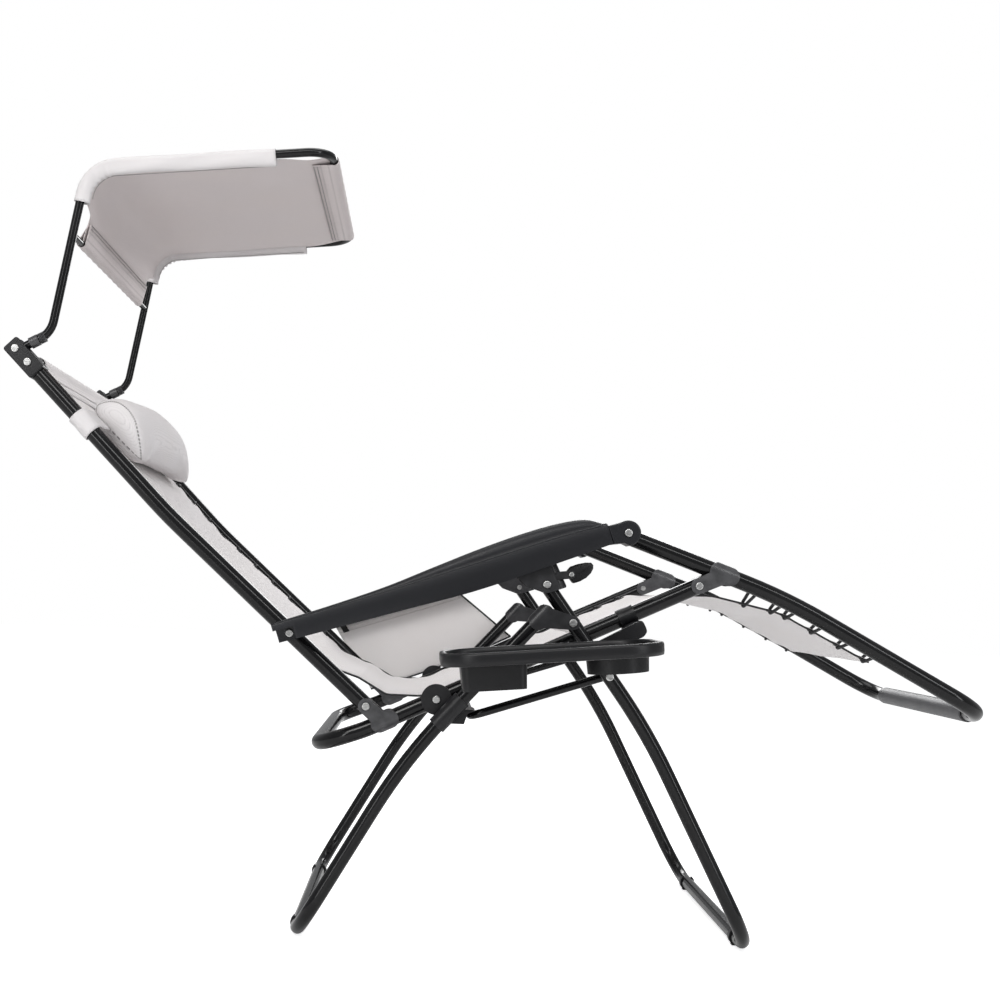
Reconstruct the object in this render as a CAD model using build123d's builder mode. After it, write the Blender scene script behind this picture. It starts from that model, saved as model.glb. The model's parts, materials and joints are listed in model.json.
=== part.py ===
"""Zero gravity recliner: a folding reclining garden chair, millimetres, +Z up.

+X points to the foot end and -Y to the sitter's right hand. Side-view points are (x, z) from the
point on the floor below the scissor pivot, and the whole chair is centred on its box at the end.
"""
from build123d import *
from math import atan2, cos, degrees, hypot, radians, sin, tan
import os

os.makedirs("parts", exist_ok=True)

# ---- driving dimensions ------------------------------------------------------------------------
body_half_width = 262.0  # centre plane to the axis of the back, seat and legrest side tubes
leg_half_width = 292.0  # centre plane to the axis of the leg tubes
body_tube = 25.0
leg_tube = 22.0
small_tube = 13.0  # brace bar and canopy frame
cross_tube = 19.0
tube_wall = 1.2
body_corner = 62.0  # bend radius of the U-shaped ends of the body frames
leg_corner = 70.0  # bend radius of the feet

scissor = (0.0, 499.0)
slide_pivot = (-41.0, 555.3)  # top of the front leg
front_bend = (118.6, 336.7)
front_foot = (284.7, 13.6)
rear_top = (-37.3, 517.2)
rear_bend = (-244.6, 287.2)
rear_foot = (-404.0, 13.6)
leg_bend = 900.0  # radius of the long bend half way down each leg
brace_pivot = (57.7, 420.0)
brace_rest = (-147.3, 352.0)  # where the brace bar's cross piece sits in the leg clamps

knee = (192.5, 560.9)  # seat to legrest pivot
seat_angle = 25.2
seat_clamp_run = 434.2  # knee to the clamp pivot, along the seat tube
seat_bend_run = 552.0  # knee to the slight bend behind the hips
seat_tail = 79.0  # bend to the rear cross piece
seat_tail_angle = 20.0
hip = (-307.0, 361.8)  # back to seat pivot
back_angle = 138.0
armrest_link = 160.7  # hip pivot to the armrest's rear pivot
back_bend_run = 421.0
back_top_angle = 134.2
back_top_run = 312.0  # bend to the bracket's fixing screw
armrest_front = (76.5, 635.8)
legrest_bend = (328.2, 545.4)
legrest_toe_angle = -28.4
legrest_toe_run = 356.7

canopy_pivot_run = 28.0  # fixing screw to the canopy pivot
canopy_knee = (-807.3, 913.9)
canopy_corner = (-759.1, 1172.3)
canopy_front = (-388.0, 1207.0)
canopy_bend = 56.0
canopy_knee_bend = 42.0
canopy_front_corner = 40.0
canopy_bar_run = 108.0  # corner to the rear crossbar, down the arms
canopy_bar_radius = 5.0

armrest_inner = 275.1
armrest_outer = 319.0
armrest_wall = 3.0
armrest_nose = 19.0
armrest_tail = 19.0

sheet = 2.0  # steel sheet of the brackets
ear_gap = 0.3  # bracket ear to tube
screw = 6.0
screw_head = 12.0
screw_head_rise = 2.6
screw_foot = 9.0
running = 0.05  # radial clearance of a screw in its hole
contact_gap = 0.3  # between pieces that move apart
snug = 0.05  # between pieces that stay together

sling_half_width = 228.0
sling_thick = 2.4
lace_size = 5.0
lace_pitch = 45.0
strap_thick = 1.6
strap_width = 38.0
cover_thick = 2.0

tray_inner = 324.0
tray_width = 190.0
tray_length = 303.0
tray_wall = 2.5
tray_rim = 17.0
tray_near_end = (-196.7, 453.2)  # rear end of the tray's top face
tray_angle = 5.1
cup_radius = 42.0
cup_depth = 42.0

# ---- small helpers -----------------------------------------------------------------------------
pieces = []


def keep(builder, label):
    """Names a finished piece and puts it on the list that is written at the end."""
    builder.part.label = label
    pieces.append(builder)


def step(point, angle, run):
    """The side-view point that lies run from point, at angle from +X."""
    return (point[0] + run * cos(radians(angle)), point[1] + run * sin(radians(angle)))


def heading(a, b):
    return degrees(atan2(b[1] - a[1], b[0] - a[0]))


def at(point, y):
    """Side-view point to space."""
    return (point[0], y, point[1])


def side(y=0.0, origin=(0.0, 0.0), angle=0.0):
    """The side-view plane at y: its X runs at angle, and it faces -Y."""
    return Plane(origin=at(origin, y), x_dir=(cos(radians(angle)), 0, sin(radians(angle))), z_dir=(0, -1, 0))


def bent_tube(points, radii, size, wall=tube_wall):
    """A round tube along straight runs joined by arcs, or a rod when wall is 0."""
    with BuildPart() as tube:
        with BuildLine() as path:
            FilletPolyline(*points, radius=radii)
        with BuildSketch(Plane(origin=path.line @ 0, z_dir=path.line % 0)):
            Circle(size / 2)
            if wall:
                Circle(size / 2 - wall, mode=Mode.SUBTRACT)
        sweep()
    return tube


def u_frame(side_points, side_radii, half_width, size, corner):
    """A tube bent to a U: down one side, across at the last side point and back up the other."""
    near = [at(p, -half_width) for p in side_points]
    far = [at(p, half_width) for p in reversed(side_points)]
    return bent_tube(near + far, side_radii + [corner, corner] + side_radii[::-1], size)


def drill(builder, points, size, depth=400.0):
    """Round holes right across the chair at side-view points."""
    with builder:
        with BuildSketch(side()) as rounds:
            with Locations(*points):
                Circle(size / 2)
        extrude(rounds.sketch, amount=depth, both=True, mode=Mode.SUBTRACT)


def twin(source):
    """The same piece on the other side of the chair."""
    with BuildPart() as other:
        mirror(source.part, about=Plane.XZ)
    return other


def rivets(points, inner, outer, head=screw_head, foot=screw_foot):
    """Pivot screws on both sides: shank from inner to outer, domed head outside, burr inside."""
    with BuildPart() as group:
        with BuildSketch(side(-inner)):
            with Locations(*points):
                Circle(screw / 2)
        extrude(amount=outer - inner)
        with BuildSketch(side(-outer)):
            with Locations(*points):
                Circle(head / 2)
        extrude(amount=screw_head_rise)
        fillet(group.edges().group_by(Axis.Y)[0], screw_head_rise * 0.6)
        if foot:
            with BuildSketch(side(-inner)):
                with Locations(*points):
                    Circle(foot / 2)
            extrude(amount=-screw_head_rise * 0.7)
        mirror(about=Plane.XZ)
    return group


def hull_of(spots):
    """The outline stretched round circles, each (centre, radius) in the sketch's own axes."""
    with BuildSketch() as lobes:
        for spot, radius in spots:
            with Locations(spot):
                Circle(radius)
    return make_hull(lobes.sketch.edges(), mode=Mode.PRIVATE)


def saddle(centre, angle, opening, lateral, tube, reach, outline):
    """A sheet bent to a U round a tube that runs at angle; its ears point at opening (+1 or -1
    times the normal) and are cut to the side-view outline, a list of rounded spots."""
    inner = tube / 2 + ear_gap
    outer = inner + sheet
    across = Plane(
        origin=at(centre, -lateral),
        x_dir=(0, -1, 0),
        z_dir=(cos(radians(angle)), 0, sin(radians(angle))),
    )
    up = opening * (1 if across.y_dir.dot(Vector(-sin(radians(angle)), 0, cos(radians(angle)))) > 0 else -1)
    with BuildPart() as bracket:
        with BuildSketch(across):
            Circle(outer)
            with Locations((0, up * reach / 2)):
                Rectangle(2 * outer, reach)
            Circle(inner, mode=Mode.SUBTRACT)
            with Locations((0, up * reach)):
                Rectangle(2 * inner, 2 * reach, mode=Mode.SUBTRACT)
        extrude(amount=reach * 2, both=True)
        with BuildSketch(side(-lateral)):
            for spots in outline:
                add(hull_of(spots))
        extrude(amount=2 * outer, both=True, mode=Mode.INTERSECT)
    return bracket


# ---- points worked out from the driving dimensions ----------------------------------------------
clamp = step(knee, seat_angle + 180, seat_clamp_run)
seat_bend = step(knee, seat_angle + 180, seat_bend_run)
seat_rear = step(seat_bend, seat_tail_angle + 180, seat_tail)
armrest_rear = step(hip, back_angle, armrest_link)
back_bend = step(hip, back_angle, back_bend_run)
top_screw = step(back_bend, back_top_angle, back_top_run)
canopy_pivot = step(top_screw, back_top_angle, canopy_pivot_run)
armrest_angle = heading(armrest_rear, armrest_front)
legrest_angle = heading(armrest_front, legrest_bend)
legrest_toe = step(legrest_bend, legrest_toe_angle, legrest_toe_run)
front_angle = heading(slide_pivot, front_bend)
rear_angle = heading(rear_bend, rear_top)
armrest_length = Vector(*armrest_rear).sub(Vector(*armrest_front)).length
hole = screw + 2 * running
strap_outer = body_tube / 2 + contact_gap + strap_thick

# ---- front leg ----------------------------------------------------------------------------------
front_tip_run = 9.0  # slide pivot to the top of the leg tube
front_top = step(slide_pivot, front_angle, -front_tip_run)
front_leg_frame = u_frame([front_top, front_bend, front_foot], [leg_bend], leg_half_width, leg_tube, leg_corner)
drill(front_leg_frame, [slide_pivot, scissor, brace_pivot], hole)
keep(front_leg_frame, "front_leg_frame")

rear_leg_frame = u_frame([rear_top, rear_bend, rear_foot], [leg_bend], leg_half_width, leg_tube, leg_corner)
keep(rear_leg_frame, "rear_leg_frame")

plug_rim = 2.0


def plugs(tips, size, half_width, depth=16.0):
    """Tube end caps on both sides. Each tip is (end point, angle that the end faces)."""
    with BuildPart() as group:
        for point, angle in tips:
            face = Plane(origin=at(point, -half_width), z_dir=(cos(radians(angle)), 0, sin(radians(angle))))
            with BuildSketch(face):
                Circle(size / 2)
            extrude(amount=plug_rim)
            with BuildSketch(face):
                Circle(size / 2 - tube_wall - snug)
            extrude(amount=-depth)
        mirror(about=Plane.XZ)
    return group


keep(plugs([(rear_top, rear_angle)], leg_tube, leg_half_width), "rear_leg_plugs")

foot_clip_width = 11.0
foot_clip_wall = 2.6
foot_clip_inset = 92.0
foot_pad = (16.0, leg_tube / 2 + foot_clip_wall)  # flat sole under the clip


def foot_clips(centre):
    """C-shaped plastic pads on a floor tube, near both its ends, open at the top, flat below."""
    with BuildPart() as clips:
        with BuildSketch(side(-(leg_half_width - foot_clip_inset - foot_clip_width / 2))):
            with Locations((centre[0], centre[1] - foot_pad[1] / 2)):
                Rectangle(*foot_pad)
            with Locations(centre):
                Circle(leg_tube / 2 + foot_clip_wall)
                Circle(leg_tube / 2 + snug, mode=Mode.SUBTRACT)
            with Locations((centre[0], centre[1] + leg_tube)):
                Rectangle(leg_tube * 0.7, leg_tube * 1.6, mode=Mode.SUBTRACT)
        extrude(amount=foot_clip_width)
        mirror(about=Plane.XZ)
    return clips


keep(foot_clips(front_foot), "front_foot_clips")
keep(foot_clips(rear_foot), "rear_foot_clips")

# ---- scissor brackets ---------------------------------------------------------------------------
ear = leg_tube / 2 + ear_gap + sheet
rear_saddle = step(rear_top, rear_angle, -14.0)
scissor_bracket_right = saddle(
    rear_saddle,
    rear_angle,
    -1,
    leg_half_width,
    leg_tube,
    70.0,
    [
        [(step(rear_top, rear_angle, -8.0), 14.0), (step(rear_top, rear_angle, -22.0), 14.0)],
        [(step(rear_top, rear_angle, -8.0), 11.0), (step(rear_top, rear_angle, -24.0), 9.0), (scissor, 10.5)],
    ],
)
drill(scissor_bracket_right, [scissor], hole)
keep(scissor_bracket_right, "scissor_bracket_right")
keep(twin(scissor_bracket_right), "scissor_bracket_left")
keep(rivets([scissor], leg_half_width - ear - contact_gap, leg_half_width + ear + contact_gap), "scissor_screws")

# ---- leg clamps: a sleeve on the rear leg, the seat's pivot disc and the brace bar's hook ---------
clamp_disc = 23.5
clamp_disc_inner = body_half_width + body_tube / 2 + 0.5
clamp_disc_outer = leg_half_width - leg_tube / 2 - contact_gap
sleeve_length = 56.0
sleeve_wall = 3.0
clamp_foot = step(clamp, rear_angle - 90, 26.6)
hook_inner = 232.0
hook_round = 11.0
brace_gap = 0.4
brace_escape = 60.0  # way out of the hook as the legs close
brace_escape_angle = -107.0

with BuildPart() as leg_clamp_right:
    with BuildSketch(side(-clamp_disc_inner)):
        with Locations(clamp):
            Circle(clamp_disc)
    extrude(amount=clamp_disc_outer - clamp_disc_inner)
    along_rear = Plane(
        origin=at(step(clamp_foot, rear_angle, -sleeve_length / 2), -leg_half_width),
        z_dir=(cos(radians(rear_angle)), 0, sin(radians(rear_angle))),
    )
    with BuildSketch(along_rear):
        Circle(leg_tube / 2 + sleeve_wall)
    extrude(amount=sleeve_length)
    with BuildSketch(side(-hook_inner)):
        add(hull_of([(brace_rest, hook_round), (step(clamp_foot, rear_angle, -8.0), hook_round)]))
    extrude(amount=leg_half_width - hook_inner)
    add(
        bent_tube(
            [at(p, -leg_half_width) for p in (rear_top, rear_bend, rear_foot)],
            [leg_bend],
            leg_tube + 2 * snug,
            wall=0,
        ).part,
        mode=Mode.SUBTRACT,
    )
    with BuildSketch(side()):
        for way in (brace_escape_angle, heading(brace_rest, brace_pivot)):
            with Locations(step(brace_rest, way, brace_escape / 2)):
                SlotCenterToCenter(brace_escape, small_tube + 2 * brace_gap, rotation=way)
        hook_mouth = (brace_escape_angle + heading(brace_rest, brace_pivot)) / 2
        with Locations(step(brace_rest, hook_mouth, brace_escape / 2)):
            Rectangle(brace_escape, 2 * brace_escape, rotation=hook_mouth)
    extrude(amount=leg_half_width, mode=Mode.SUBTRACT)
drill(leg_clamp_right, [clamp], hole)
keep(leg_clamp_right, "leg_clamp_right")
keep(twin(leg_clamp_right), "leg_clamp_left")
seat_inner_face = body_half_width - body_tube / 2
keep(rivets([clamp], seat_inner_face - contact_gap, clamp_disc_outer + snug), "clamp_screws")

# ---- brace bar ----------------------------------------------------------------------------------
brace_half_width = 272.0
brace_corner = 22.0
brace_eye = 9.0
brace_angle = heading(brace_pivot, brace_rest)
brace_start = step(brace_pivot, brace_angle, brace_eye - small_tube / 4)
with BuildPart() as brace_bar:
    add(u_frame([brace_start, brace_rest], [], brace_half_width, small_tube, brace_corner).part)
    with BuildSketch(side(-(brace_half_width - small_tube / 2 + 1))):
        with Locations(brace_pivot):
            Circle(brace_eye)
    extrude(amount=small_tube - 2)
    mirror(about=Plane.XZ)
drill(brace_bar, [brace_pivot], hole)
keep(brace_bar, "brace_bar")
keep(
    rivets([brace_pivot], brace_half_width - small_tube / 2 - contact_gap, leg_half_width + leg_tube / 2 + snug),
    "brace_screws",
)

# ---- seat frame ---------------------------------------------------------------------------------
seat_tip = step(knee, seat_angle, 8.0)
seat_frame = u_frame([seat_tip, seat_bend, seat_rear], [260.0], body_half_width, body_tube, body_corner)
drill(seat_frame, [knee, clamp], hole)
keep(seat_frame, "seat_frame")
keep(plugs([(seat_tip, seat_angle)], body_tube, body_half_width, depth=4.0), "seat_plugs")

body_ear = body_tube / 2 + ear_gap + sheet
hip_foot = step(hip, seat_angle - 90, 32.5)
hip_saddle = step(hip_foot, seat_angle, 14.0)
hip_bracket_right = saddle(
    hip_saddle,
    seat_angle,
    1,
    body_half_width,
    body_tube,
    60.0,
    [
        [(step(hip_saddle, seat_angle, -4.0), 15.0), (step(hip_saddle, seat_angle, 10.0), 15.0)],
        [(step(hip_saddle, seat_angle, 0.0), 12.0), (hip, 12.0)],
    ],
)
drill(hip_bracket_right, [hip], hole)
keep(hip_bracket_right, "hip_bracket_right")
keep(twin(hip_bracket_right), "hip_bracket_left")
keep(rivets([hip], body_half_width - body_ear - contact_gap, body_half_width + body_ear + contact_gap), "hip_screws")

# ---- back ---------------------------------------------------------------------------------------
back_tail = step(hip, back_angle + 180, 12.0)
back_tip_run = 9.0  # fixing screw to the end of the side tube
back_tip = step(top_screw, back_top_angle, back_tip_run)
back_tube_right = bent_tube(
    [at(p, -body_half_width) for p in (back_tail, back_bend, back_tip)], [leg_bend], body_tube
)
drill(back_tube_right, [hip, armrest_rear, top_screw], hole)
keep(back_tube_right, "back_tube_right")
keep(twin(back_tube_right), "back_tube_left")

socket_half = 14.0
socket_lateral = 15.0
socket_start = -22.0
socket_end = 13.0
socket_wall_gap = 6.9
socket_slot = 60.0  # cut between the cheeks that hold the canopy arm
socket_slot_start = 12.0
with BuildPart() as top_socket_right:
    lower = step(top_screw, back_top_angle, socket_start)
    with BuildSketch(side(-(body_half_width - socket_lateral), origin=lower, angle=back_top_angle)):
        with Locations(((canopy_pivot_run + socket_end - socket_start) / 2, 0)):
            RectangleRounded(canopy_pivot_run + socket_end - socket_start, 2 * socket_half, 4.0)
    extrude(amount=2 * socket_lateral)
    fillet(top_socket_right.edges().group_by(Axis.Y)[0], 2.0)
    with BuildSketch(
        Plane(origin=at(lower, -body_half_width), z_dir=(cos(radians(back_top_angle)), 0, sin(radians(back_top_angle))))
    ):
        Circle(body_tube / 2 + snug)
    extrude(amount=back_tip_run - socket_start + snug, mode=Mode.SUBTRACT)
    with BuildSketch(side(-(body_half_width - socket_wall_gap), origin=top_screw, angle=back_top_angle)):
        with Locations((socket_slot / 2 + socket_slot_start, 0)):
            Rectangle(socket_slot, 4 * socket_half)
    extrude(amount=2 * socket_wall_gap, mode=Mode.SUBTRACT)
drill(top_socket_right, [top_screw, canopy_pivot], hole)
keep(top_socket_right, "top_socket_right")
keep(twin(top_socket_right), "top_socket_left")
socket_inner = body_half_width - socket_lateral
socket_outer = body_half_width + socket_lateral
keep(rivets([top_screw], socket_inner + snug, socket_outer + snug, foot=0), "socket_screws")
keep(rivets([canopy_pivot], socket_inner - snug, socket_outer + snug), "canopy_screws")

top_bar_lift = 4.0
top_bar = step(step(top_screw, back_top_angle, 5.0), back_top_angle - 90, top_bar_lift)
with BuildPart() as back_cross_tube:
    with BuildSketch(side(-socket_inner)):
        with Locations(top_bar):
            Circle(cross_tube / 2)
            Circle(cross_tube / 2 - tube_wall, mode=Mode.SUBTRACT)
    extrude(amount=-2 * socket_inner)
keep(back_cross_tube, "back_cross_tube")
keep(
    rivets([armrest_rear], body_half_width - body_tube / 2 - contact_gap, armrest_inner + armrest_wall + contact_gap),
    "armrest_rear_screws",
)

# ---- armrests -----------------------------------------------------------------------------------
pocket_inner = armrest_inner + armrest_wall
pocket_outer = armrest_outer - armrest_wall
crown_inset = 3.5
neck_length = 44.0  # between the crown and the round nose
neck_height = 26.0
neck_rise = 3.0


def armrest_plane(y):
    """Along the armrest from its rear pivot, facing the sitter's right."""
    return side(y, origin=armrest_rear, angle=armrest_angle)


def armrest_length_share(share):
    return armrest_length * share


with BuildPart() as armrest_right:
    with BuildSketch(armrest_plane(-armrest_inner)):
        with BuildLine():
            under = Spline(
                (-armrest_tail, -10),
                (armrest_length_share(0.33), -15.5),
                (armrest_length_share(0.55), -18.5),
                (armrest_length_share(0.81), -13),
                (armrest_length_share(0.93), -9),
            )
            over = Spline(
                (armrest_length_share(0.93), 17),
                (armrest_length_share(0.55), 17),
                (-armrest_tail, 19),
            )
            Line(under @ 1, over @ 0)
            Line(over @ 1, under @ 0)
        make_face()
        with Locations((armrest_length, 0)):
            Circle(armrest_nose)
        with Locations((armrest_length - neck_length / 2, neck_rise)):
            Rectangle(neck_length, neck_height)
    extrude(amount=armrest_outer - armrest_inner)
    with BuildSketch(armrest_plane(-(armrest_inner + crown_inset))):
        with BuildLine():
            crest = Spline(
                (-armrest_tail + 6, 21),
                (armrest_length_share(0.3), 23),
                (armrest_length_share(0.55), 31.5),
                (armrest_length_share(0.75), 38),
                (armrest_length_share(0.87), 34),
                (armrest_length_share(0.935), 22),
            )
            Polyline(crest @ 1, (armrest_length_share(0.935), 5), (-armrest_tail + 6, 5), crest @ 0)
        make_face()
    extrude(amount=armrest_outer - armrest_inner - 2 * crown_inset)
    with BuildSketch(armrest_plane(-pocket_inner)):
        with BuildLine():
            Polyline(
                (-armrest_tail - 1, -40),
                (-armrest_tail - 1, 13),
                (armrest_length_share(0.3), 15),
                (armrest_length_share(0.55), 24),
                (armrest_length_share(0.75), 30),
                (armrest_length_share(0.86), 26),
                (armrest_length_share(0.94), 13),
                (armrest_length_share(0.94), -40),
                close=True,
            )
        make_face()
    extrude(amount=pocket_outer - pocket_inner, mode=Mode.SUBTRACT)
    with BuildSketch(armrest_plane(-pocket_outer + 1)):
        with Locations((-4, 0)):
            RectangleRounded(34, 24, 3)
    extrude(amount=armrest_wall + 2, mode=Mode.SUBTRACT)
drill(armrest_right, [armrest_rear, armrest_front], hole)
keep(armrest_right, "armrest_right")
keep(twin(armrest_right), "armrest_left")
keep(rivets([armrest_front], armrest_inner + snug, armrest_outer + snug, foot=0), "armrest_front_screws")

rail_start = 235.0
rail_end = 490.0
rail_half = 9.0
with BuildPart() as armrest_rails:
    with BuildSketch(armrest_plane(-(pocket_outer - 0.1 - 3.0))):
        with Locations(((rail_start + rail_end) / 2, 1)):
            RectangleRounded(rail_end - rail_start, 2 * rail_half, 3)
            SlotOverall(rail_end - rail_start - 30, 7, mode=Mode.SUBTRACT)
    extrude(amount=3.0)
    mirror(about=Plane.XZ)
keep(armrest_rails, "armrest_rails")

# ---- slide brackets and lock levers ---------------------------------------------------------------
web_angle = 115.8
web_distance = 27.0
web_middle = step(slide_pivot, web_angle - 90, web_distance - ear)


def beside_pivot(x, z):
    """Side-view point given from the slide pivot."""
    return (slide_pivot[0] + x, slide_pivot[1] + z)


lever_pin = beside_pivot(36.0, 16.0)
slide_shell = saddle(
    web_middle,
    web_angle,
    1,
    leg_half_width,
    leg_tube,
    95.0,
    [
        [
            (beside_pivot(-46, 15), 3.0),
            (beside_pivot(-30, 0), 3.0),
            (slide_pivot, 12.5),
            (beside_pivot(27, -1), 3.0),
            (beside_pivot(12, 35), 3.0),
            (beside_pivot(-44, 16), 3.0),
        ]
    ],
)
with BuildPart() as slide_bracket_right:
    add(slide_shell.part)
    for y in (leg_half_width + ear - sheet, leg_half_width - ear):
        with BuildSketch(side(-y)):
            add(hull_of([(lever_pin, 6.0), (beside_pivot(18, 14), 6.0)]))
        extrude(amount=sheet)
drill(slide_bracket_right, [slide_pivot, lever_pin], hole)
keep(slide_bracket_right, "slide_bracket_right")
keep(twin(slide_bracket_right), "slide_bracket_left")
keep(rivets([slide_pivot], leg_half_width - ear - contact_gap, leg_half_width + ear + contact_gap), "slide_screws")
keep(
    rivets([lever_pin], leg_half_width - ear + snug, leg_half_width + ear + snug, head=8.0, foot=0), "lever_pins"
)

lever_half = leg_tube / 2 - 1.5
with BuildPart() as lock_lever_right:
    with BuildSketch(side(-(leg_half_width - lever_half))):
        add(
            hull_of(
                [
                    (lever_pin, 6.5),
                    (beside_pivot(66, 36), 2.0),
                    (beside_pivot(64, 24), 6.0),
                    (beside_pivot(50, 10), 6.0),
                    (beside_pivot(38, 6), 3.0),
                    (beside_pivot(34, 26), 2.0),
                ]
            )
        )
    extrude(amount=2 * lever_half)
    fillet(lock_lever_right.edges().group_by(Axis.Y)[0], 1.5)
    with BuildSketch(side(-(leg_half_width + lever_half - 1.2))):
        for rib in range(4):
            with Locations(beside_pivot(46 + 5.0 * rib, 20)):
                Rectangle(1.6, 60, rotation=-28)
    extrude(amount=2.0, mode=Mode.SUBTRACT)
drill(lock_lever_right, [lever_pin], hole)
keep(lock_lever_right, "lock_lever_right")
keep(twin(lock_lever_right), "lock_lever_left")

# ---- legrest ------------------------------------------------------------------------------------
legrest_tip = step(armrest_front, legrest_angle + 180, 14.0)
legrest_frame = u_frame(
    [legrest_tip, legrest_bend, legrest_toe], [leg_bend], body_half_width, body_tube, body_corner
)
keep(legrest_frame, "legrest_frame")
keep(plugs([(legrest_tip, legrest_angle + 180)], body_tube, body_half_width), "legrest_plugs")

knee_saddle = step(armrest_front, legrest_angle, 164.0)
knee_bracket_right = saddle(
    knee_saddle,
    legrest_angle,
    -1,
    body_half_width,
    body_tube,
    70.0,
    [
        [(step(knee_saddle, legrest_angle, -8.0), 15.5), (step(knee_saddle, legrest_angle, 8.0), 15.5)],
        [(step(knee_saddle, legrest_angle, 2.0), 13.0), (knee, 12.0)],
    ],
)
drill(knee_bracket_right, [knee], hole)
keep(knee_bracket_right, "knee_bracket_right")
keep(twin(knee_bracket_right), "knee_bracket_left")
keep(rivets([knee], body_half_width - body_ear - contact_gap, body_half_width + body_ear + contact_gap), "knee_screws")

toe_sleeve_half = 188.0
toe_sleeve_wall = 2.4
with BuildPart() as legrest_sleeve:
    with BuildSketch(side(-toe_sleeve_half)):
        with Locations(legrest_toe):
            Circle(body_tube / 2 + toe_sleeve_wall)
            Circle(body_tube / 2 + snug, mode=Mode.SUBTRACT)
    extrude(amount=-2 * toe_sleeve_half)
keep(legrest_sleeve, "legrest_sleeve")

# ---- sling --------------------------------------------------------------------------------------
hip_join = 96.0  # the back panel starts this far from the hip pivot
knee_gap = 34.0
legrest_lead_angle = -24.0  # knee to the start of the legrest panel


def strip(points, thick, half_width):
    """A sheet across the chair whose middle line is side-view points joined by straight runs."""
    with BuildPart() as cloth:
        for start, end in zip(points, points[1:]):
            length = Vector(*start).sub(Vector(*end)).length
            with BuildSketch(side(-half_width, origin=start, angle=heading(start, end))):
                with Locations((length / 2, 0)):
                    SlotCenterToCenter(length, thick)
            extrude(amount=-2 * half_width)
    return cloth


back_low = step(hip, back_angle, hip_join)
back_high = step(top_bar, back_top_angle + 180, cross_tube / 2 + contact_gap + sling_thick)
keep(strip([back_low, back_bend, back_high], sling_thick, sling_half_width), "back_sling")

hip_curve = [
    step(step(hip, back_angle, 70.0), back_angle - 90, 6.0),
    step(step(hip, back_angle, 38.0), back_angle - 90, 20.0),
    step(step(clamp, seat_angle, -70.0), seat_angle + 90, 34.0),
    step(step(clamp, seat_angle, -20.0), seat_angle + 90, 10.0),
    step(clamp, seat_angle, 40.0),
]
seat_front = step(knee, seat_angle + 180, knee_gap)
keep(strip(hip_curve + [seat_front], sling_thick, sling_half_width), "seat_sling")

legrest_start = step(knee, legrest_lead_angle, knee_gap)
legrest_end = (469.5, 452.0)
legrest_middle = (328.0, 524.0)
keep(strip([legrest_start, legrest_middle, legrest_end], sling_thick, sling_half_width), "legrest_sling")


def lacing(starts, axis_starts, stops):
    """Elastic loops on both sides, from the sling's edge towards the tube's axis, which each
    leaves off at its stop. Starts are side-view points on the sling and on the axis."""
    with BuildPart() as loops:
        for start, on_axis, stop in zip(starts, axis_starts, stops):
            rise = Vector(*start).sub(Vector(*on_axis)).length
            lean = rise / hypot(rise, body_half_width - sling_half_width)
            edge = Vector(*at(start, -(sling_half_width + contact_gap + lean * lace_size / 2)))
            way = Vector(*at(on_axis, -body_half_width)) - edge
            with BuildSketch(Plane(origin=edge, z_dir=way)):
                Circle(lace_size / 2)
            extrude(amount=way.length - stop)
        mirror(about=Plane.XZ)
    return loops


def beside(point, start, angle):
    """The point nearest to the given one on the line through start at angle."""
    run = (point[0] - start[0]) * cos(radians(angle)) + (point[1] - start[1]) * sin(radians(angle))
    return step(start, angle, run)


def arc_dip(point, corner, turn):
    """How far a long bend of the tube lies inside its corner, measured at a point on the runs."""
    tangent = leg_bend * tan(radians(abs(turn) / 2))
    return max(tangent - Vector(*point).sub(Vector(*corner)).length, 0) ** 2 / (2 * leg_bend)


def spaced(start, angle, first, last):
    """Side-view points a lace pitch apart along a line."""
    count = int((last - first) / lace_pitch) + 1
    return [step(start, angle, first + lace_pitch * i) for i in range(count)]


tube_stop = body_tube / 2 + contact_gap
back_starts = spaced(hip, back_angle, 138.0, back_bend_run - 20) + spaced(back_bend, back_top_angle, 20.0, 270.0)
keep(lacing(back_starts, back_starts, [strap_outer + contact_gap] * len(back_starts)), "back_lacing")
seat_starts = spaced(clamp, seat_angle, 68.7, 400.0)
keep(lacing(seat_starts, seat_starts, [tube_stop] * len(seat_starts)), "seat_lacing")
upper_starts = spaced(legrest_start, heading(legrest_start, legrest_middle), 48.0, 100.0)
lower_starts = spaced(legrest_middle, heading(legrest_middle, legrest_end), 15.0, 150.0)
on_tube = [beside(p, legrest_bend, legrest_angle) for p in upper_starts]
on_tube += [beside(p, legrest_bend, legrest_toe_angle) for p in lower_starts]
stops = [tube_stop + arc_dip(p, legrest_bend, legrest_toe_angle - legrest_angle) for p in on_tube]
keep(lacing(upper_starts + lower_starts, on_tube, stops), "legrest_lacing")

# ---- canopy -------------------------------------------------------------------------------------
canopy_frame = u_frame(
    [canopy_pivot, canopy_knee, canopy_corner, canopy_front],
    [canopy_knee_bend, canopy_bend],
    body_half_width,
    small_tube,
    canopy_front_corner,
)
drill(canopy_frame, [canopy_pivot], hole)
keep(canopy_frame, "canopy_frame")

canopy_bar = step(canopy_corner, heading(canopy_corner, canopy_knee), canopy_bar_run)
with BuildPart() as canopy_crossbar:
    with BuildSketch(side(-(body_half_width - small_tube / 2 - contact_gap))):
        with Locations(canopy_bar):
            Circle(canopy_bar_radius)
    extrude(amount=-2 * (body_half_width - small_tube / 2 - contact_gap))
keep(canopy_crossbar, "canopy_crossbar")

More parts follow.
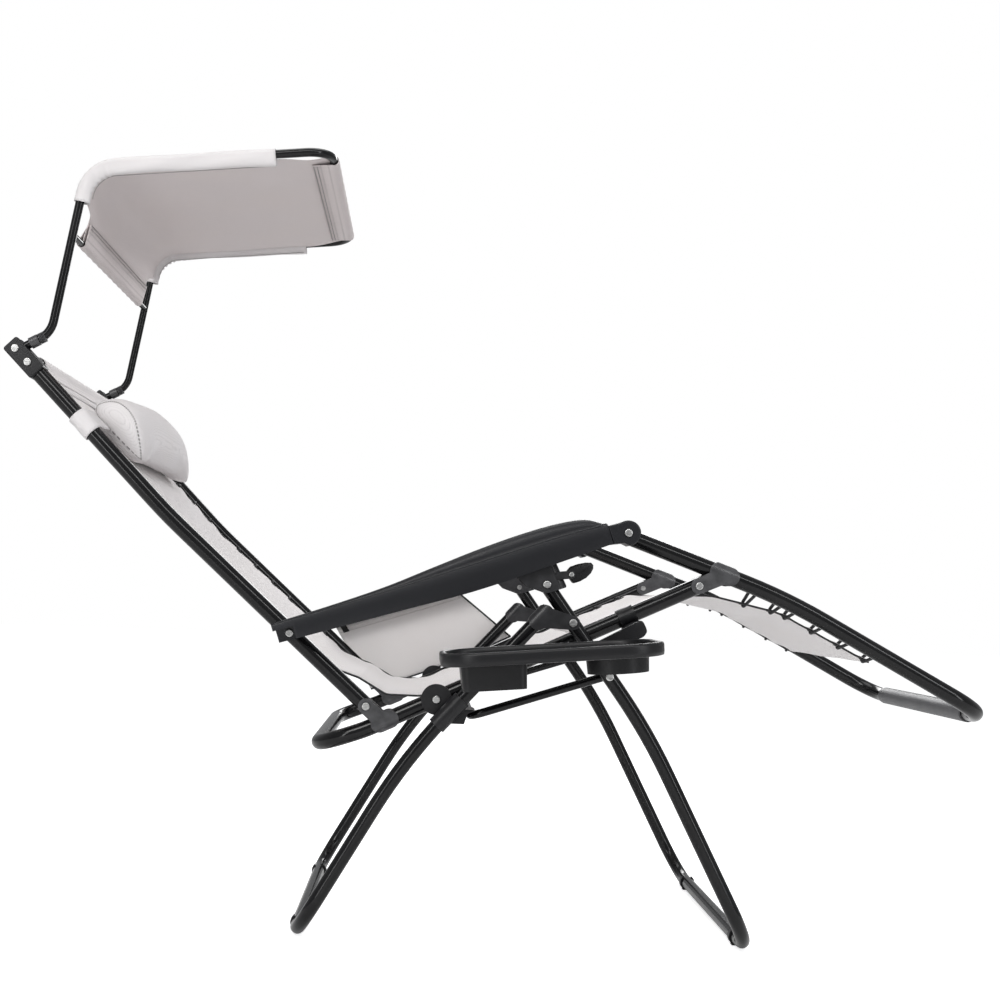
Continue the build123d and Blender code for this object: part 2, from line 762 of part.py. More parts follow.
ferrule_angle = heading(canopy_pivot, canopy_knee)
ferrule_start = 22.0
ferrule_length = 14.0
ferrule_wall = 2.2
with BuildPart() as canopy_ferrules:
    with BuildSketch(
        Plane(
            origin=at(step(canopy_pivot, ferrule_angle, ferrule_start), -body_half_width),
            z_dir=(cos(radians(ferrule_angle)), 0, sin(radians(ferrule_angle))),
        )
    ):
        Circle(small_tube / 2 + ferrule_wall)
        Circle(small_tube / 2 + snug, mode=Mode.SUBTRACT)
    extrude(amount=ferrule_length)
    mirror(about=Plane.XZ)
keep(canopy_ferrules, "canopy_ferrules")

cover_half_width = body_half_width - small_tube / 2 - 1.0
cover_up = heading(canopy_knee, canopy_corner)
cover_out = heading(canopy_corner, canopy_front)
cover_turn = 66.0  # straight runs stop this far from the corner of the arms
cover_turn_dip = 17.0
cover_points = [
    step(canopy_bar, cover_up, canopy_bar_radius + contact_gap + cover_thick),
    step(canopy_corner, cover_up + 180, cover_turn),
    step(canopy_corner, (cover_up + cover_out) / 2 - 90, cover_turn_dip),
    step(canopy_corner, cover_out, cover_turn),
    step(canopy_front, cover_out + 180, small_tube / 2 + contact_gap + cover_thick),
]
with BuildPart() as canopy_cover:
    add(strip(cover_points, cover_thick, cover_half_width).part)
    with BuildSketch(Plane(origin=at(canopy_front, 0), x_dir=(0, 1, 0), z_dir=at(step((0, 0), cover_out + 90, 1), 0))):
        for hand in (-1, 1):
            with Locations((hand * (body_half_width - canopy_front_corner / 2), canopy_front_corner / 2)):
                Rectangle(canopy_front_corner, canopy_front_corner)
        for hand in (-1, 1):
            with Locations((hand * (body_half_width - canopy_front_corner), canopy_front_corner)):
                Circle(canopy_front_corner - small_tube / 2 - contact_gap, mode=Mode.SUBTRACT)
    extrude(amount=canopy_front_corner, both=True, mode=Mode.SUBTRACT)
keep(canopy_cover, "canopy_cover")

# ---- pillow -------------------------------------------------------------------------------------
pillow_length = 155.0
pillow_half_width = 215.0
pillow_thick = 62.0
pillow_end_round = 6.0
pillow_run = 82.0  # back bend to the pillow's lower edge
pillow_lift = top_bar_lift + sling_thick / 2
with BuildPart() as pillow:
    with BuildSketch(side(-pillow_half_width, origin=back_bend, angle=back_top_angle)):
        with Locations((pillow_run + pillow_length / 2, -(pillow_lift + pillow_thick / 2))):
            RectangleRounded(pillow_length, pillow_thick, 24)
    extrude(amount=-2 * pillow_half_width)
    fillet(pillow.edges().group_by(Axis.Y)[0] + pillow.edges().group_by(Axis.Y)[-1], pillow_end_round)
keep(pillow, "pillow")

strap_offset = 27.5  # pillow's middle to the straps
strap_run = pillow_run + pillow_length / 2 + strap_offset
strap_lift = 7.0  # the straps leave the pillow's ends this far above its underside
strap_reach = 8.0  # side tube's axis to the end of a strap's flat stretch
with BuildPart() as pillow_straps:
    strap_foot = step(back_bend, back_top_angle, strap_run - strap_width / 2)
    with BuildSketch(
        Plane(
            origin=at(strap_foot, -body_half_width),
            z_dir=(cos(radians(back_top_angle)), 0, sin(radians(back_top_angle))),
        )
    ):
        Circle(strap_outer)
        Circle(strap_outer - strap_thick, mode=Mode.SUBTRACT)
    extrude(amount=strap_width)
    with BuildSketch(side(-(pillow_half_width + contact_gap), origin=back_bend, angle=back_top_angle)):
        with Locations((strap_run, -(pillow_lift + strap_lift))):
            Rectangle(strap_width, strap_thick)
    extrude(amount=body_half_width - strap_reach - pillow_half_width - contact_gap)
    mirror(about=Plane.XZ)
keep(pillow_straps, "pillow_straps")

# ---- side tray and its clamp ----------------------------------------------------------------------
tray_clamp_at = step(knee, seat_angle + 180, 118.0)
socket_width = 32.0
socket_height = 24.0
peg_width = 20.0
peg_height = 8.0
tray_clamp_outer = 303.0
tray_clamp_drop = 21.0
lug_thick = 9.0
tray_socket = step(tray_clamp_at, seat_angle - 90, tray_clamp_drop)

with BuildPart() as tray_clamp:
    with BuildSketch(side(-(body_half_width - body_tube / 2 - 2), origin=tray_clamp_at, angle=seat_angle)):
        with Locations((0, -3.0)):
            RectangleRounded(socket_width, body_tube + 12, 5)
    extrude(amount=body_tube + 5)
    with BuildSketch(side(-(body_half_width), origin=tray_socket, angle=seat_angle)):
        RectangleRounded(socket_width, socket_height, 4)
    extrude(amount=tray_clamp_outer - body_half_width)
    with BuildSketch(
        Plane(
            origin=at(step(tray_clamp_at, seat_angle, -40.0), -body_half_width),
            z_dir=(cos(radians(seat_angle)), 0, sin(radians(seat_angle))),
        )
    ):
        Circle(body_tube / 2 + snug)
    extrude(amount=80, mode=Mode.SUBTRACT)
    with BuildSketch(side(-(body_half_width + body_tube / 2 + 4), origin=tray_socket, angle=seat_angle)):
        Rectangle(peg_width + 2 * contact_gap, peg_height + 2 * contact_gap)
    extrude(amount=80, mode=Mode.SUBTRACT)
keep(tray_clamp, "tray_clamp")


cup_along = tray_length - 56.0
cup_across = 96.0
box_along = 70.0
box_size = (92.0, 120.0)
box_depth = 38.0
tray_top = Plane(
    origin=at(tray_near_end, -tray_inner),
    x_dir=(cos(radians(tray_angle)), 0, sin(radians(tray_angle))),
    z_dir=(-sin(radians(tray_angle)), 0, cos(radians(tray_angle))),
)
with BuildPart() as tray:
    with BuildSketch(tray_top):
        with Locations((tray_length / 2, -tray_width / 2)):
            RectangleRounded(tray_length, tray_width, 55)
    extrude(amount=-tray_rim)
    with BuildSketch(tray_top.offset(-tray_rim + 1)):
        with Locations((cup_along, -cup_across)):
            Circle(cup_radius + tray_wall)
    extrude(amount=-(cup_depth - tray_rim + 1), taper=3)
    with BuildSketch(tray_top.offset(-tray_rim + 1)):
        with Locations((box_along, -cup_across)):
            RectangleRounded(box_size[0], box_size[1], 12)
    extrude(amount=-(box_depth), taper=3)
    with BuildSketch(tray_top):
        with Locations((tray_length / 2, -tray_width / 2)):
            RectangleRounded(tray_length - 2 * tray_wall - 4, tray_width - 2 * tray_wall - 4, 52)
    extrude(amount=-(tray_rim - 5), mode=Mode.SUBTRACT)
    with BuildSketch(tray_top.offset(-2)):
        with Locations((tray_length / 2, -tray_width / 2)):
            RectangleRounded(tray_length + 20, tray_width + 20, 65)
            RectangleRounded(tray_length - 2 * tray_wall, tray_width - 2 * tray_wall, 53, mode=Mode.SUBTRACT)
    extrude(amount=-(tray_rim - 7), mode=Mode.SUBTRACT)
    with BuildSketch(tray_top):
        with Locations((cup_along, -cup_across)):
            Circle(cup_radius - 2)
    extrude(amount=-(cup_depth - tray_wall), mode=Mode.SUBTRACT)
    with BuildSketch(tray_top):
        with Locations((box_along, -cup_across)):
            RectangleRounded(box_size[0] - 2 * tray_wall - 4, box_size[1] - 2 * tray_wall - 4, 9)
    extrude(amount=-(tray_rim - 1 + box_depth - tray_wall), mode=Mode.SUBTRACT)
    lug_foot = step(step(tray_near_end, tray_angle, 0.77 * tray_length), tray_angle - 90, tray_rim / 2)
    with BuildSketch(side(-(tray_inner - lug_thick))):
        add(hull_of([(tray_socket, 12.0), (lug_foot, 7.0)]))
    extrude(amount=lug_thick + tray_wall)
    with BuildSketch(side(-(body_half_width + body_tube / 2 + 4.5), origin=tray_socket, angle=seat_angle)):
        Rectangle(peg_width, peg_height)
    extrude(amount=tray_inner - 5 - body_half_width - body_tube / 2 - 4.5)
keep(tray, "tray")

# ---- side pouch -----------------------------------------------------------------------------------
pouch_inner = armrest_outer + contact_gap
pouch_thick = 12.0
pouch_wall = 1.6
pouch_corners = [(28, -13), (278, -16), (352, -128), (60, -150)]
with BuildPart() as side_pouch:
    with BuildSketch(armrest_plane(pouch_inner)):
        with BuildLine():
            Polyline(*pouch_corners, close=True)
        make_face()
    extrude(amount=-pouch_thick)
    with BuildSketch(armrest_plane(pouch_inner + pouch_wall)):
        with BuildLine():
            Polyline((32, 0), (272, 0), (344, -125), (66, -145), close=True)
        make_face()
    extrude(amount=-(pouch_thick - 2 * pouch_wall), mode=Mode.SUBTRACT)
keep(side_pouch, "side_pouch")

# ---- write every piece, centred on the whole chair -------------------------------------------------
whole = Compound(children=[piece.part.moved(Location()) for piece in pieces]).bounding_box()
to_origin = Location((-whole.center().X, -whole.center().Y, -whole.min.Z))
for piece in pieces:
    placed = piece.part.moved(to_origin)
    placed.label = piece.part.label
    export_step(placed, f"parts/{placed.label}.step")

print("pieces", len(pieces), "size", whole.size)
print("shift", -whole.center().X, -whole.center().Y, -whole.min.Z)
pivots = {
    "scissor": scissor, "slide": slide_pivot, "brace": brace_pivot, "clamp": clamp, "hip": hip,
    "armrest_rear": armrest_rear, "armrest_front": armrest_front, "knee": knee,
    "canopy": canopy_pivot, "lever": lever_pin,
}
for name, point in pivots.items():
    print("pivot", name, round(point[0] + to_origin.position.X, 3), round(point[1] + to_origin.position.Z, 3))
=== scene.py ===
"""Zero gravity recliner: the looks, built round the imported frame. Metres, +X to the foot end, +Z up."""
import json
import math

import bmesh
import bpy
from mathutils import Matrix, Vector
from mathutils.bvhtree import BVHTree


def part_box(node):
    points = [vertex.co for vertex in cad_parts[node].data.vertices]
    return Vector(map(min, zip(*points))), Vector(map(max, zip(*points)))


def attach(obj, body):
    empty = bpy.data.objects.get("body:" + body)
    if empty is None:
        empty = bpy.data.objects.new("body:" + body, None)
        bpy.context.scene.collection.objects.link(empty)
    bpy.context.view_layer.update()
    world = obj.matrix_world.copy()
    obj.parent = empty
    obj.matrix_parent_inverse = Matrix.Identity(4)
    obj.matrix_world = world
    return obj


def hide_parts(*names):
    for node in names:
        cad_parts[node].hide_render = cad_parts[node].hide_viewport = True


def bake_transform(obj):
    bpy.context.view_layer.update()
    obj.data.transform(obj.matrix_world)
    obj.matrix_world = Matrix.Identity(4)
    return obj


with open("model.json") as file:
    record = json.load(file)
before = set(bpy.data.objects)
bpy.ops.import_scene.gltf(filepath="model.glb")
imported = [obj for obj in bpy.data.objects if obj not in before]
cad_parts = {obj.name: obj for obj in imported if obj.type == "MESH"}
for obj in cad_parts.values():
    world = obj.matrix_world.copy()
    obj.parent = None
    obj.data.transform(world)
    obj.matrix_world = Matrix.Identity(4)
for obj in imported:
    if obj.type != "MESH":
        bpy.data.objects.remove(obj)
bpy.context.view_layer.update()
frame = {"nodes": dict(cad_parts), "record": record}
NODES = frame["nodes"]
JOINTS = {j["name"]: j for j in frame["record"]["behaviour"]["joints"]}

# ---- places and sizes ----------------------------------------------------------------------------


def middle_y(node):
    low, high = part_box(node)
    return (low[1] + high[1]) / 2


MID = middle_y("front_leg_frame")  # the chair's centre plane


def pivot(name):
    """Side-view place (x, z) of a hinge."""
    x, _, z = JOINTS[name]["pos_m"]
    return (x, z)


def go(point, angle, run):
    """Side-view point that lies run from point, at angle from +X, in degrees."""
    return (point[0] + run * math.cos(math.radians(angle)), point[1] + run * math.sin(math.radians(angle)))


def aim(a, b):
    return math.degrees(math.atan2(b[1] - a[1], b[0] - a[0]))


SCISSOR, HIP, KNEE, CLAMP = pivot("fold"), pivot("recline"), pivot("legrest_turn"), pivot("seat_tilt")
ARM_REAR, CANOPY_FOOT = pivot("armrest_turn"), pivot("canopy_turn")
BODY_HALF = 0.262  # centre plane to the axis of the body's side tubes
BODY_TUBE = 0.0125  # radius
SLING_HALF = 0.228
BACK_ANGLE, BACK_TOP_ANGLE, SEAT_ANGLE = 138.0, 134.2, 25.2
BACK_BEND = go(HIP, BACK_ANGLE, 0.421)
TOP_SCREW = go(BACK_BEND, BACK_TOP_ANGLE, 0.312)
TOP_BAR = go(go(TOP_SCREW, BACK_TOP_ANGLE, 0.005), BACK_TOP_ANGLE - 90, 0.004)


def from_scissor(dx, z):
    """Side-view point given from the scissor pivot along X and from the floor."""
    return (SCISSOR[0] + dx, z)


ARM_FRONT = from_scissor(0.0765, 0.6358)
LEGREST_BEND = from_scissor(0.3282, 0.5454)
LEGREST_TOE_ANGLE = -28.4
CANOPY_KNEE = from_scissor(-0.8073, 0.9139)
CANOPY_CORNER = from_scissor(-0.7591, 1.1723)
CANOPY_FRONT = from_scissor(-0.388, 1.207)

# ---- camera, light and stage ----------------------------------------------------------------------

CAMERA_ROLL = 1.9


def make_camera():
    data = bpy.data.cameras.new("camera")
    data.sensor_width = 36.0
    data.lens = 48.31
    data.shift_x = 0.0750
    data.shift_y = 0.0971
    camera = bpy.data.objects.new("camera", data)
    bpy.context.scene.collection.objects.link(camera)
    camera.location = (SCISSOR[0] - 0.2228, MID - 2.312, 0.5305)
    level = Matrix.Rotation(math.radians(90), 4, "X")
    roll = Matrix.Rotation(math.radians(CAMERA_ROLL), 4, "Z")
    camera.matrix_world = Matrix.Translation(camera.location) @ level @ roll
    bpy.context.scene.camera = camera


def make_stage():
    scene = bpy.context.scene
    scene.view_settings.view_transform = "Standard"
    floor_size = 30.0
    mesh = bpy.data.meshes.new("floor")
    half = floor_size / 2
    corners = [(-half, -half, 0), (half, -half, 0), (half, half, 0), (-half, half, 0)]
    mesh.from_pydata(corners, [], [(0, 1, 2, 3)])
    floor = bpy.data.objects.new("floor", mesh)
    scene.collection.objects.link(floor)
    floor.location.z = -0.0005
    mesh.materials.append(backdrop_material())
    for name, spot, size, power, colour in (
        ("key", (-1.6, -2.6, 3.0), (1.3, 1.3), 24.0, (1.0, 0.98, 0.95)),
        ("strip_over", (0.0, -2.5, 2.5), (5.0, 0.35), 44.0, (1.0, 1.0, 1.0)),
        ("strip_left", (-1.9, -2.5, 1.1), (0.28, 2.0), 13.0, (1.0, 1.0, 1.0)),
        ("strip_right", (2.4, -2.2, 1.3), (0.35, 2.2), 17.0, (0.97, 0.98, 1.0)),
        ("top", (0.0, 0.3, 3.6), (2.2, 2.2), 34.0, (1.0, 1.0, 1.0)),
        ("rim", (0.6, 2.8, 2.0), (1.4, 1.4), 36.0, (1.0, 1.0, 1.0)),
    ):
        data = bpy.data.lights.new(name, "AREA")
        data.shape = "RECTANGLE"
        data.size, data.size_y = size
        data.energy = power
        data.color = colour
        lamp = bpy.data.objects.new(name, data)
        scene.collection.objects.link(lamp)
        lamp.location = spot
        lamp.rotation_euler = (Vector((0, MID, 0.5)) - Vector(spot)).to_track_quat("-Z", "Y").to_euler()
    world = bpy.data.worlds.new("world")
    scene.world = world
    world.use_nodes = True
    tree = world.node_tree
    back = tree.nodes["Background"]
    back.inputs["Color"].default_value = (0.97, 0.98, 1.0, 1)
    back.inputs["Strength"].default_value = 0.36
    white = tree.nodes.new("ShaderNodeBackground")
    white.inputs["Color"].default_value = (1, 1, 1, 1)
    white.inputs["Strength"].default_value = 1.0
    show_where_seen(tree, back.outputs[0], white.outputs[0], tree.nodes["World Output"].inputs["Surface"])


def show_where_seen(tree, lit, seen, target):
    """Uses seen for what the camera and transmission rays meet, and lit for all other light."""
    path = tree.nodes.new("ShaderNodeLightPath")
    direct = tree.nodes.new("ShaderNodeMath")
    direct.operation = "MAXIMUM"
    tree.links.new(path.outputs["Is Camera Ray"], direct.inputs[0])
    tree.links.new(path.outputs["Is Transmission Ray"], direct.inputs[1])
    pick = tree.nodes.new("ShaderNodeMixShader")
    tree.links.new(direct.outputs[0], pick.inputs[0])
    tree.links.new(lit, pick.inputs[1])
    tree.links.new(seen, pick.inputs[2])
    tree.links.new(pick.outputs[0], target)


def backdrop_material():
    """A white floor that keeps the chair's soft shadow and fades to the white surround."""
    material = bpy.data.materials.new("floor")
    material.use_nodes = True
    tree = material.node_tree
    shader = tree.nodes["Principled BSDF"]
    shader.inputs["Base Color"].default_value = (0.92, 0.92, 0.92, 1)
    shader.inputs["Roughness"].default_value = 0.7
    shader.inputs["Emission Color"].default_value = (1, 1, 1, 1)
    path = tree.nodes.new("ShaderNodeLightPath")
    glow = tree.nodes.new("ShaderNodeMath")
    glow.operation = "MULTIPLY"
    glow.inputs[1].default_value = 0.74
    tree.links.new(path.outputs["Is Camera Ray"], glow.inputs[0])
    tree.links.new(glow.outputs[0], shader.inputs["Emission Strength"])
    return material


# ---- materials -----------------------------------------------------------------------------------


class Shader:
    """A principled material with short helpers for its nodes."""

    def __init__(self, name, colour, roughness, metallic=0.0, specular=0.5):
        self.material = bpy.data.materials.new(name)
        self.material.use_nodes = True
        self.tree = self.material.node_tree
        self.bsdf = self.tree.nodes["Principled BSDF"]
        self.set("Base Color", (*colour, 1))
        self.set("Roughness", roughness)
        self.set("Metallic", metallic)
        self.set("Specular IOR Level", specular)
        self.height = None

    def set(self, socket, value):
        self.bsdf.inputs[socket].default_value = value

    def node(self, kind, **values):
        node = self.tree.nodes.new(kind)
        for key, value in values.items():
            setattr(node, key, value)
        return node

    def link(self, a, b):
        self.tree.links.new(a, b)

    def math(self, operation, a, b=0.0, clamp=False):
        node = self.node("ShaderNodeMath", operation=operation, use_clamp=clamp)
        for socket, value in zip(node.inputs, (a, b)):
            if isinstance(value, (int, float)):
                socket.default_value = value
            else:
                self.link(value, socket)
        return node.outputs[0]

    def place(self, kind="Object"):
        return self.node("ShaderNodeTexCoord").outputs[kind]

    def noise(self, scale, detail=3.0, kind="Object", stretch=(1, 1, 1), roughness=0.5):
        node = self.node("ShaderNodeTexNoise")
        node.inputs["Scale"].default_value = scale
        node.inputs["Detail"].default_value = detail
        node.inputs["Roughness"].default_value = roughness
        mapping = self.node("ShaderNodeMapping")
        mapping.inputs["Scale"].default_value = stretch
        self.link(self.place(kind), mapping.inputs["Vector"])
        self.link(mapping.outputs[0], node.inputs["Vector"])
        return node.outputs["Fac"]

    def ramp(self, factor, *stops):
        node = self.node("ShaderNodeValToRGB")
        while len(node.color_ramp.elements) < len(stops):
            node.color_ramp.elements.new(0.5)
        for element, (at, colour) in zip(node.color_ramp.elements, stops):
            element.position = at
            element.color = (*colour, 1) if hasattr(colour, "__len__") else (colour, colour, colour, 1)
        self.link(factor, node.inputs[0])
        return node.outputs["Color"]

    def colour(self, output):
        self.link(output, self.bsdf.inputs["Base Color"])

    def roughness(self, factor, low, high):
        node = self.node("ShaderNodeMapRange")
        node.inputs["To Min"].default_value = low
        node.inputs["To Max"].default_value = high
        self.link(factor, node.inputs["Value"])
        self.link(node.outputs[0], self.bsdf.inputs["Roughness"])

    def bump(self, height, strength, distance):
        node = self.node("ShaderNodeBump")
        node.inputs["Strength"].default_value = strength
        node.inputs["Distance"].default_value = distance
        self.link(height, node.inputs["Height"])
        if self.height is not None:
            self.link(self.height, node.inputs["Normal"])
        self.height = node.outputs["Normal"]
        self.link(self.height, self.bsdf.inputs["Normal"])

    def blend(self, factor, a, b):
        node = self.node("ShaderNodeMix", data_type="RGBA")
        self.link(factor, node.inputs["Factor"])
        for socket, value in ((node.inputs[6], a), (node.inputs[7], b)):
            if hasattr(value, "__len__"):
                socket.default_value = (*value, 1)
            else:
                self.link(value, socket)
        return node.outputs[2]


def worn_and_highlit_edges(shader, base, highlit_worn_edge, start=0.53, end=0.6):
    """Lightens the colour where the surface is sharply convex: edge wear and a painted edge highlight."""
    geometry = shader.node("ShaderNodeNewGeometry")
    wear_and_highlight = shader.ramp(geometry.outputs["Pointiness"], (start, 0.0), (end, 1.0))
    mottle = shader.noise(60, 4)
    amount = shader.math("MULTIPLY", wear_and_highlight, mottle)
    # painted highlight and wear: convex edges blend towards the lighter edge colour
    shader.colour(shader.blend(amount, base, highlit_worn_edge))


def powder_coat(name):
    """Glossy black powder coat with a faint orange peel."""
    shader = Shader(name, (0.003, 0.003, 0.0035), 0.17, specular=0.26)
    shader.set("Coat Weight", 0.14)
    shader.set("Coat Roughness", 0.08)
    cloud = shader.noise(14, 3)
    tint = shader.ramp(cloud, (0.3, (0.003, 0.003, 0.0035)), (0.75, (0.007, 0.007, 0.0075)))
    dust = shader.ramp(shader.noise(220, 2), (0.66, 0.0), (0.8, 1.0))
    shader.colour(shader.blend(dust, tint, (0.014, 0.014, 0.015)))
    shader.roughness(cloud, 0.11, 0.22)
    shader.bump(shader.noise(420, 2), 0.12, 0.0004)
    return shader.material


def sheet_steel(name, colour, roughness, highlit_worn_edge):
    shader = Shader(name, colour, roughness, metallic=0.12, specular=0.4)
    # convex edges lightened towards the edge colour: edge wear plus painted highlight
    worn_and_highlit_edges(shader, colour, highlit_worn_edge)
    shader.roughness(shader.noise(35, 4), roughness - 0.07, roughness + 0.1)
    shader.bump(shader.noise(300, 2), 0.15, 0.0003)
    return shader.material


def zinc(name):
    shader = Shader(name, (0.62, 0.62, 0.61), 0.28, metallic=1.0)
    grain = shader.noise(90, 5, stretch=(1, 1, 6))
    shader.colour(shader.ramp(grain, (0.3, (0.42, 0.42, 0.41)), (0.75, (0.78, 0.78, 0.77))))
    shader.roughness(grain, 0.2, 0.38)
    shader.bump(grain, 0.12, 0.0003)
    return shader.material


def moulded(name, colour, roughness, grain=900, light=1.5, specular=0.5):
    """Moulded plastic with a fine spark-eroded grain and lighter edges: rubbed wear and painted highlight."""
    shader = Shader(name, colour, roughness, specular=specular)
    # edges lightened by the light factor: rubbed wear plus painted highlight, as on the armrest's lip bead
    worn_and_highlit_edges(shader, colour, tuple(min(c * light + 0.012, 1) for c in colour), 0.52, 0.62)
    shader.roughness(shader.noise(22, 4), roughness - 0.05, roughness + 0.08)
    shader.bump(shader.noise(grain, 2), 0.35, 0.0003)
    return shader.material


def woven(name, light, dark, pitch, kind="UV", roughness=0.8, depth=0.0006, sheen=0.15):
    """A plain weave: two sets of rounded threads that cross over and under, pitch metres apart."""
    shader = Shader(name, light, roughness, specular=0.25)
    shader.set("Sheen Weight", sheen)
    split = shader.node("ShaderNodeSeparateXYZ")
    shader.link(shader.place(kind), split.inputs[0])
    turns = math.pi / pitch
    warp = shader.math("ABSOLUTE", shader.math("SINE", shader.math("MULTIPLY", split.outputs[0], turns)))
    weft = shader.math("ABSOLUTE", shader.math("SINE", shader.math("MULTIPLY", split.outputs[1], turns)))
    half = turns / 2
    over_x = shader.math("SINE", shader.math("MULTIPLY", split.outputs[0], half * 2))
    over_y = shader.math("SINE", shader.math("MULTIPLY", split.outputs[1], half * 2))
    over = shader.math("GREATER_THAN", shader.math("MULTIPLY", over_x, over_y), 0.0)
    threads = shader.node("ShaderNodeMix", data_type="FLOAT")
    shader.link(over, threads.inputs["Factor"])
    shader.link(warp, threads.inputs[2])
    shader.link(weft, threads.inputs[3])
    cloud = shader.noise(9, 4, kind)
    slub = shader.noise(1.0 / pitch / 6, 2, kind, stretch=(1, 0.06, 1))
    uneven = shader.math("ADD", shader.math("MULTIPLY", slub, 0.5), 0.75)
    tone = shader.math("MULTIPLY", threads.outputs[0], uneven)
    base = shader.ramp(tone, (0.0, dark), (0.55, light))
    warm = tuple(c * f for c, f in zip(light, (0.93, 0.92, 0.9)))
    soft = shader.ramp(cloud, (0.35, 0.0), (0.75, 0.55))
    shader.colour(shader.blend(soft, base, warm))
    shader.bump(threads.outputs[0], 0.5, depth)
    shader.bump(shader.noise(5, 3, kind), 0.15, 0.004)
    return shader


def rubber_lace(name):
    shader = Shader(name, (0.012, 0.012, 0.013), 0.62)
    rib = shader.node("ShaderNodeTexWave")
    rib.inputs["Scale"].default_value = 400
    shader.link(shader.place(), rib.inputs["Vector"])
    shader.colour(shader.ramp(rib.outputs["Fac"], (0.2, (0.008, 0.008, 0.009)), (0.9, (0.03, 0.03, 0.032))))
    shader.bump(rib.outputs["Fac"], 0.3, 0.0004)
    return shader.material


def make_materials():
    made = {
        "black_frame": powder_coat("powder_black"),
        "canopy_black": powder_coat("powder_black_canopy"),
        # the last colour of each sheet steel is its edge colour: edge wear plus painted highlight
        "black_sheet": sheet_steel("sheet_black", (0.006, 0.006, 0.007), 0.32, (0.05, 0.05, 0.053)),
        "grey_bracket": sheet_steel("sheet_grey", (0.013, 0.013, 0.0145), 0.30, (0.12, 0.12, 0.125)),
        "zinc": zinc("zinc"),
        "armrest_plastic": moulded("armrest_plastic", (0.0078, 0.0082, 0.0105), 0.38, specular=0.34),
        "black_plastic": moulded("black_plastic", (0.0045, 0.0045, 0.0055), 0.36, specular=0.36),
        "grey_sleeve": moulded("grey_sleeve", (0.055, 0.055, 0.058), 0.45),
        "mesh_fabric": woven("mesh_fabric", (0.85, 0.822, 0.822), (0.54, 0.52, 0.517), 0.0022).material,
        "hem_fabric": woven("hem_fabric", (0.78, 0.757, 0.763), (0.52, 0.50, 0.505), 0.0011).material,
        "canopy_fabric": woven("canopy_fabric", (0.70, 0.642, 0.640), (0.36, 0.328, 0.326), 0.0016).material,
        "pouch_fabric": woven("pouch_fabric", (0.86, 0.83, 0.825), (0.56, 0.54, 0.53), 0.0013).material,
        "pillow_fabric": woven(
            "pillow_fabric", (0.82, 0.795, 0.803), (0.58, 0.56, 0.565), 0.0011, kind="Object"
        ).material,
        "thread": woven("thread", (0.34, 0.32, 0.32), (0.16, 0.15, 0.15), 0.0008, kind="Object").material,
        "lacing": rubber_lace("elastic_lace"),
    }
    return made


MATERIALS = make_materials()
SLOT_OF = {s["node"]: s["material_slot"] for s in frame["record"]["subparts"]}


def dress_nodes():
    """Gives every CAD node the finish of its slot, and the canopy ferrules the grey one."""
    for name, obj in NODES.items():
        material = MATERIALS["grey_bracket" if name == "canopy_ferrules" else SLOT_OF[name]]
        obj.data.materials.clear()
        obj.data.materials.append(material)


def smooth_nodes():
    """Shades the CAD nodes smooth, with a hard line at their sharper edges."""
    for obj in NODES.values():
        for polygon in obj.data.polygons:
            polygon.use_smooth = True
        modifier = obj.modifiers.new("edges", "EDGE_SPLIT")
        modifier.split_angle = math.radians(32)


# ---- mesh helpers ---------------------------------------------------------------------------------


def add_mesh(name, verts, faces, material, uvs=None):
    """A new smooth-shaded object. uvs is one pair for every vertex, in metres."""
    mesh = bpy.data.meshes.new(name)
    mesh.from_pydata([tuple(v) for v in verts], [], faces)
    mesh.materials.append(MATERIALS[material])
    for polygon in mesh.polygons:
        polygon.use_smooth = True
    if uvs:
        layer = mesh.uv_layers.new(name="UVMap")
        for loop in mesh.loops:
            layer.data[loop.index].uv = uvs[loop.vertex_index]
    obj = bpy.data.objects.new(name, mesh)
    bpy.context.scene.collection.objects.link(obj)
    return obj


def grid(name, rows, material, uvs=None, close=False):
    """A sheet from rows of points, closed into a ring when close is set."""
    columns = len(rows[0])
    faces = []
    last = columns if close else columns - 1
    for i in range(len(rows) - 1):
        for j in range(last):
            k = (j + 1) % columns
            faces.append((i * columns + j, i * columns + k, (i + 1) * columns + k, (i + 1) * columns + j))
    verts = [v for row in rows for v in row]
    flat_uvs = [uv for row in uvs for uv in row] if uvs else None
    return add_mesh(name, verts, faces, material, flat_uvs)


def thicken(obj, thickness, offset=0.0):
    """Gives a sheet its thickness for good."""
    modifier = obj.modifiers.new("thickness", "SOLIDIFY")
    modifier.thickness = thickness
    modifier.offset = offset
    modifier.use_even_offset = True
    apply_modifiers(obj)


def apply_modifiers(obj):
    bpy.context.view_layer.update()
    seen = bpy.context.evaluated_depsgraph_get()
    mesh = bpy.data.meshes.new_from_object(obj.evaluated_get(seen))
    obj.modifiers.clear()
    obj.data = mesh


def join(name, parts):
    """Several objects as one, with the first one's slot."""
    bpy.ops.object.select_all(action="DESELECT")
    for part in parts:
        part.select_set(True)
    bpy.context.view_layer.objects.active = parts[0]
    bpy.ops.object.join()
    parts[0].name = name
    return parts[0]


def cord_rings(points, radius, closed, sides=8):
    """Rings of points round a path, without twist."""
    count = len(points)
    rings = []
    across = None
    for i, point in enumerate(points):
        before = points[i - 1] if i or closed else point
        after = points[(i + 1) % count] if i < count - 1 or closed else point
        way = (after - before).normalized()
        if across is None:
            across = way.orthogonal().normalized()
        across = (across - way * across.dot(way)).normalized()
        up = way.cross(across)
        size = radius[i] if hasattr(radius, "__len__") else radius
        turn = [math.tau * k / sides for k in range(sides)]
        rings.append([point + across * size * math.cos(a) + up * size * math.sin(a) for a in turn])
    return rings


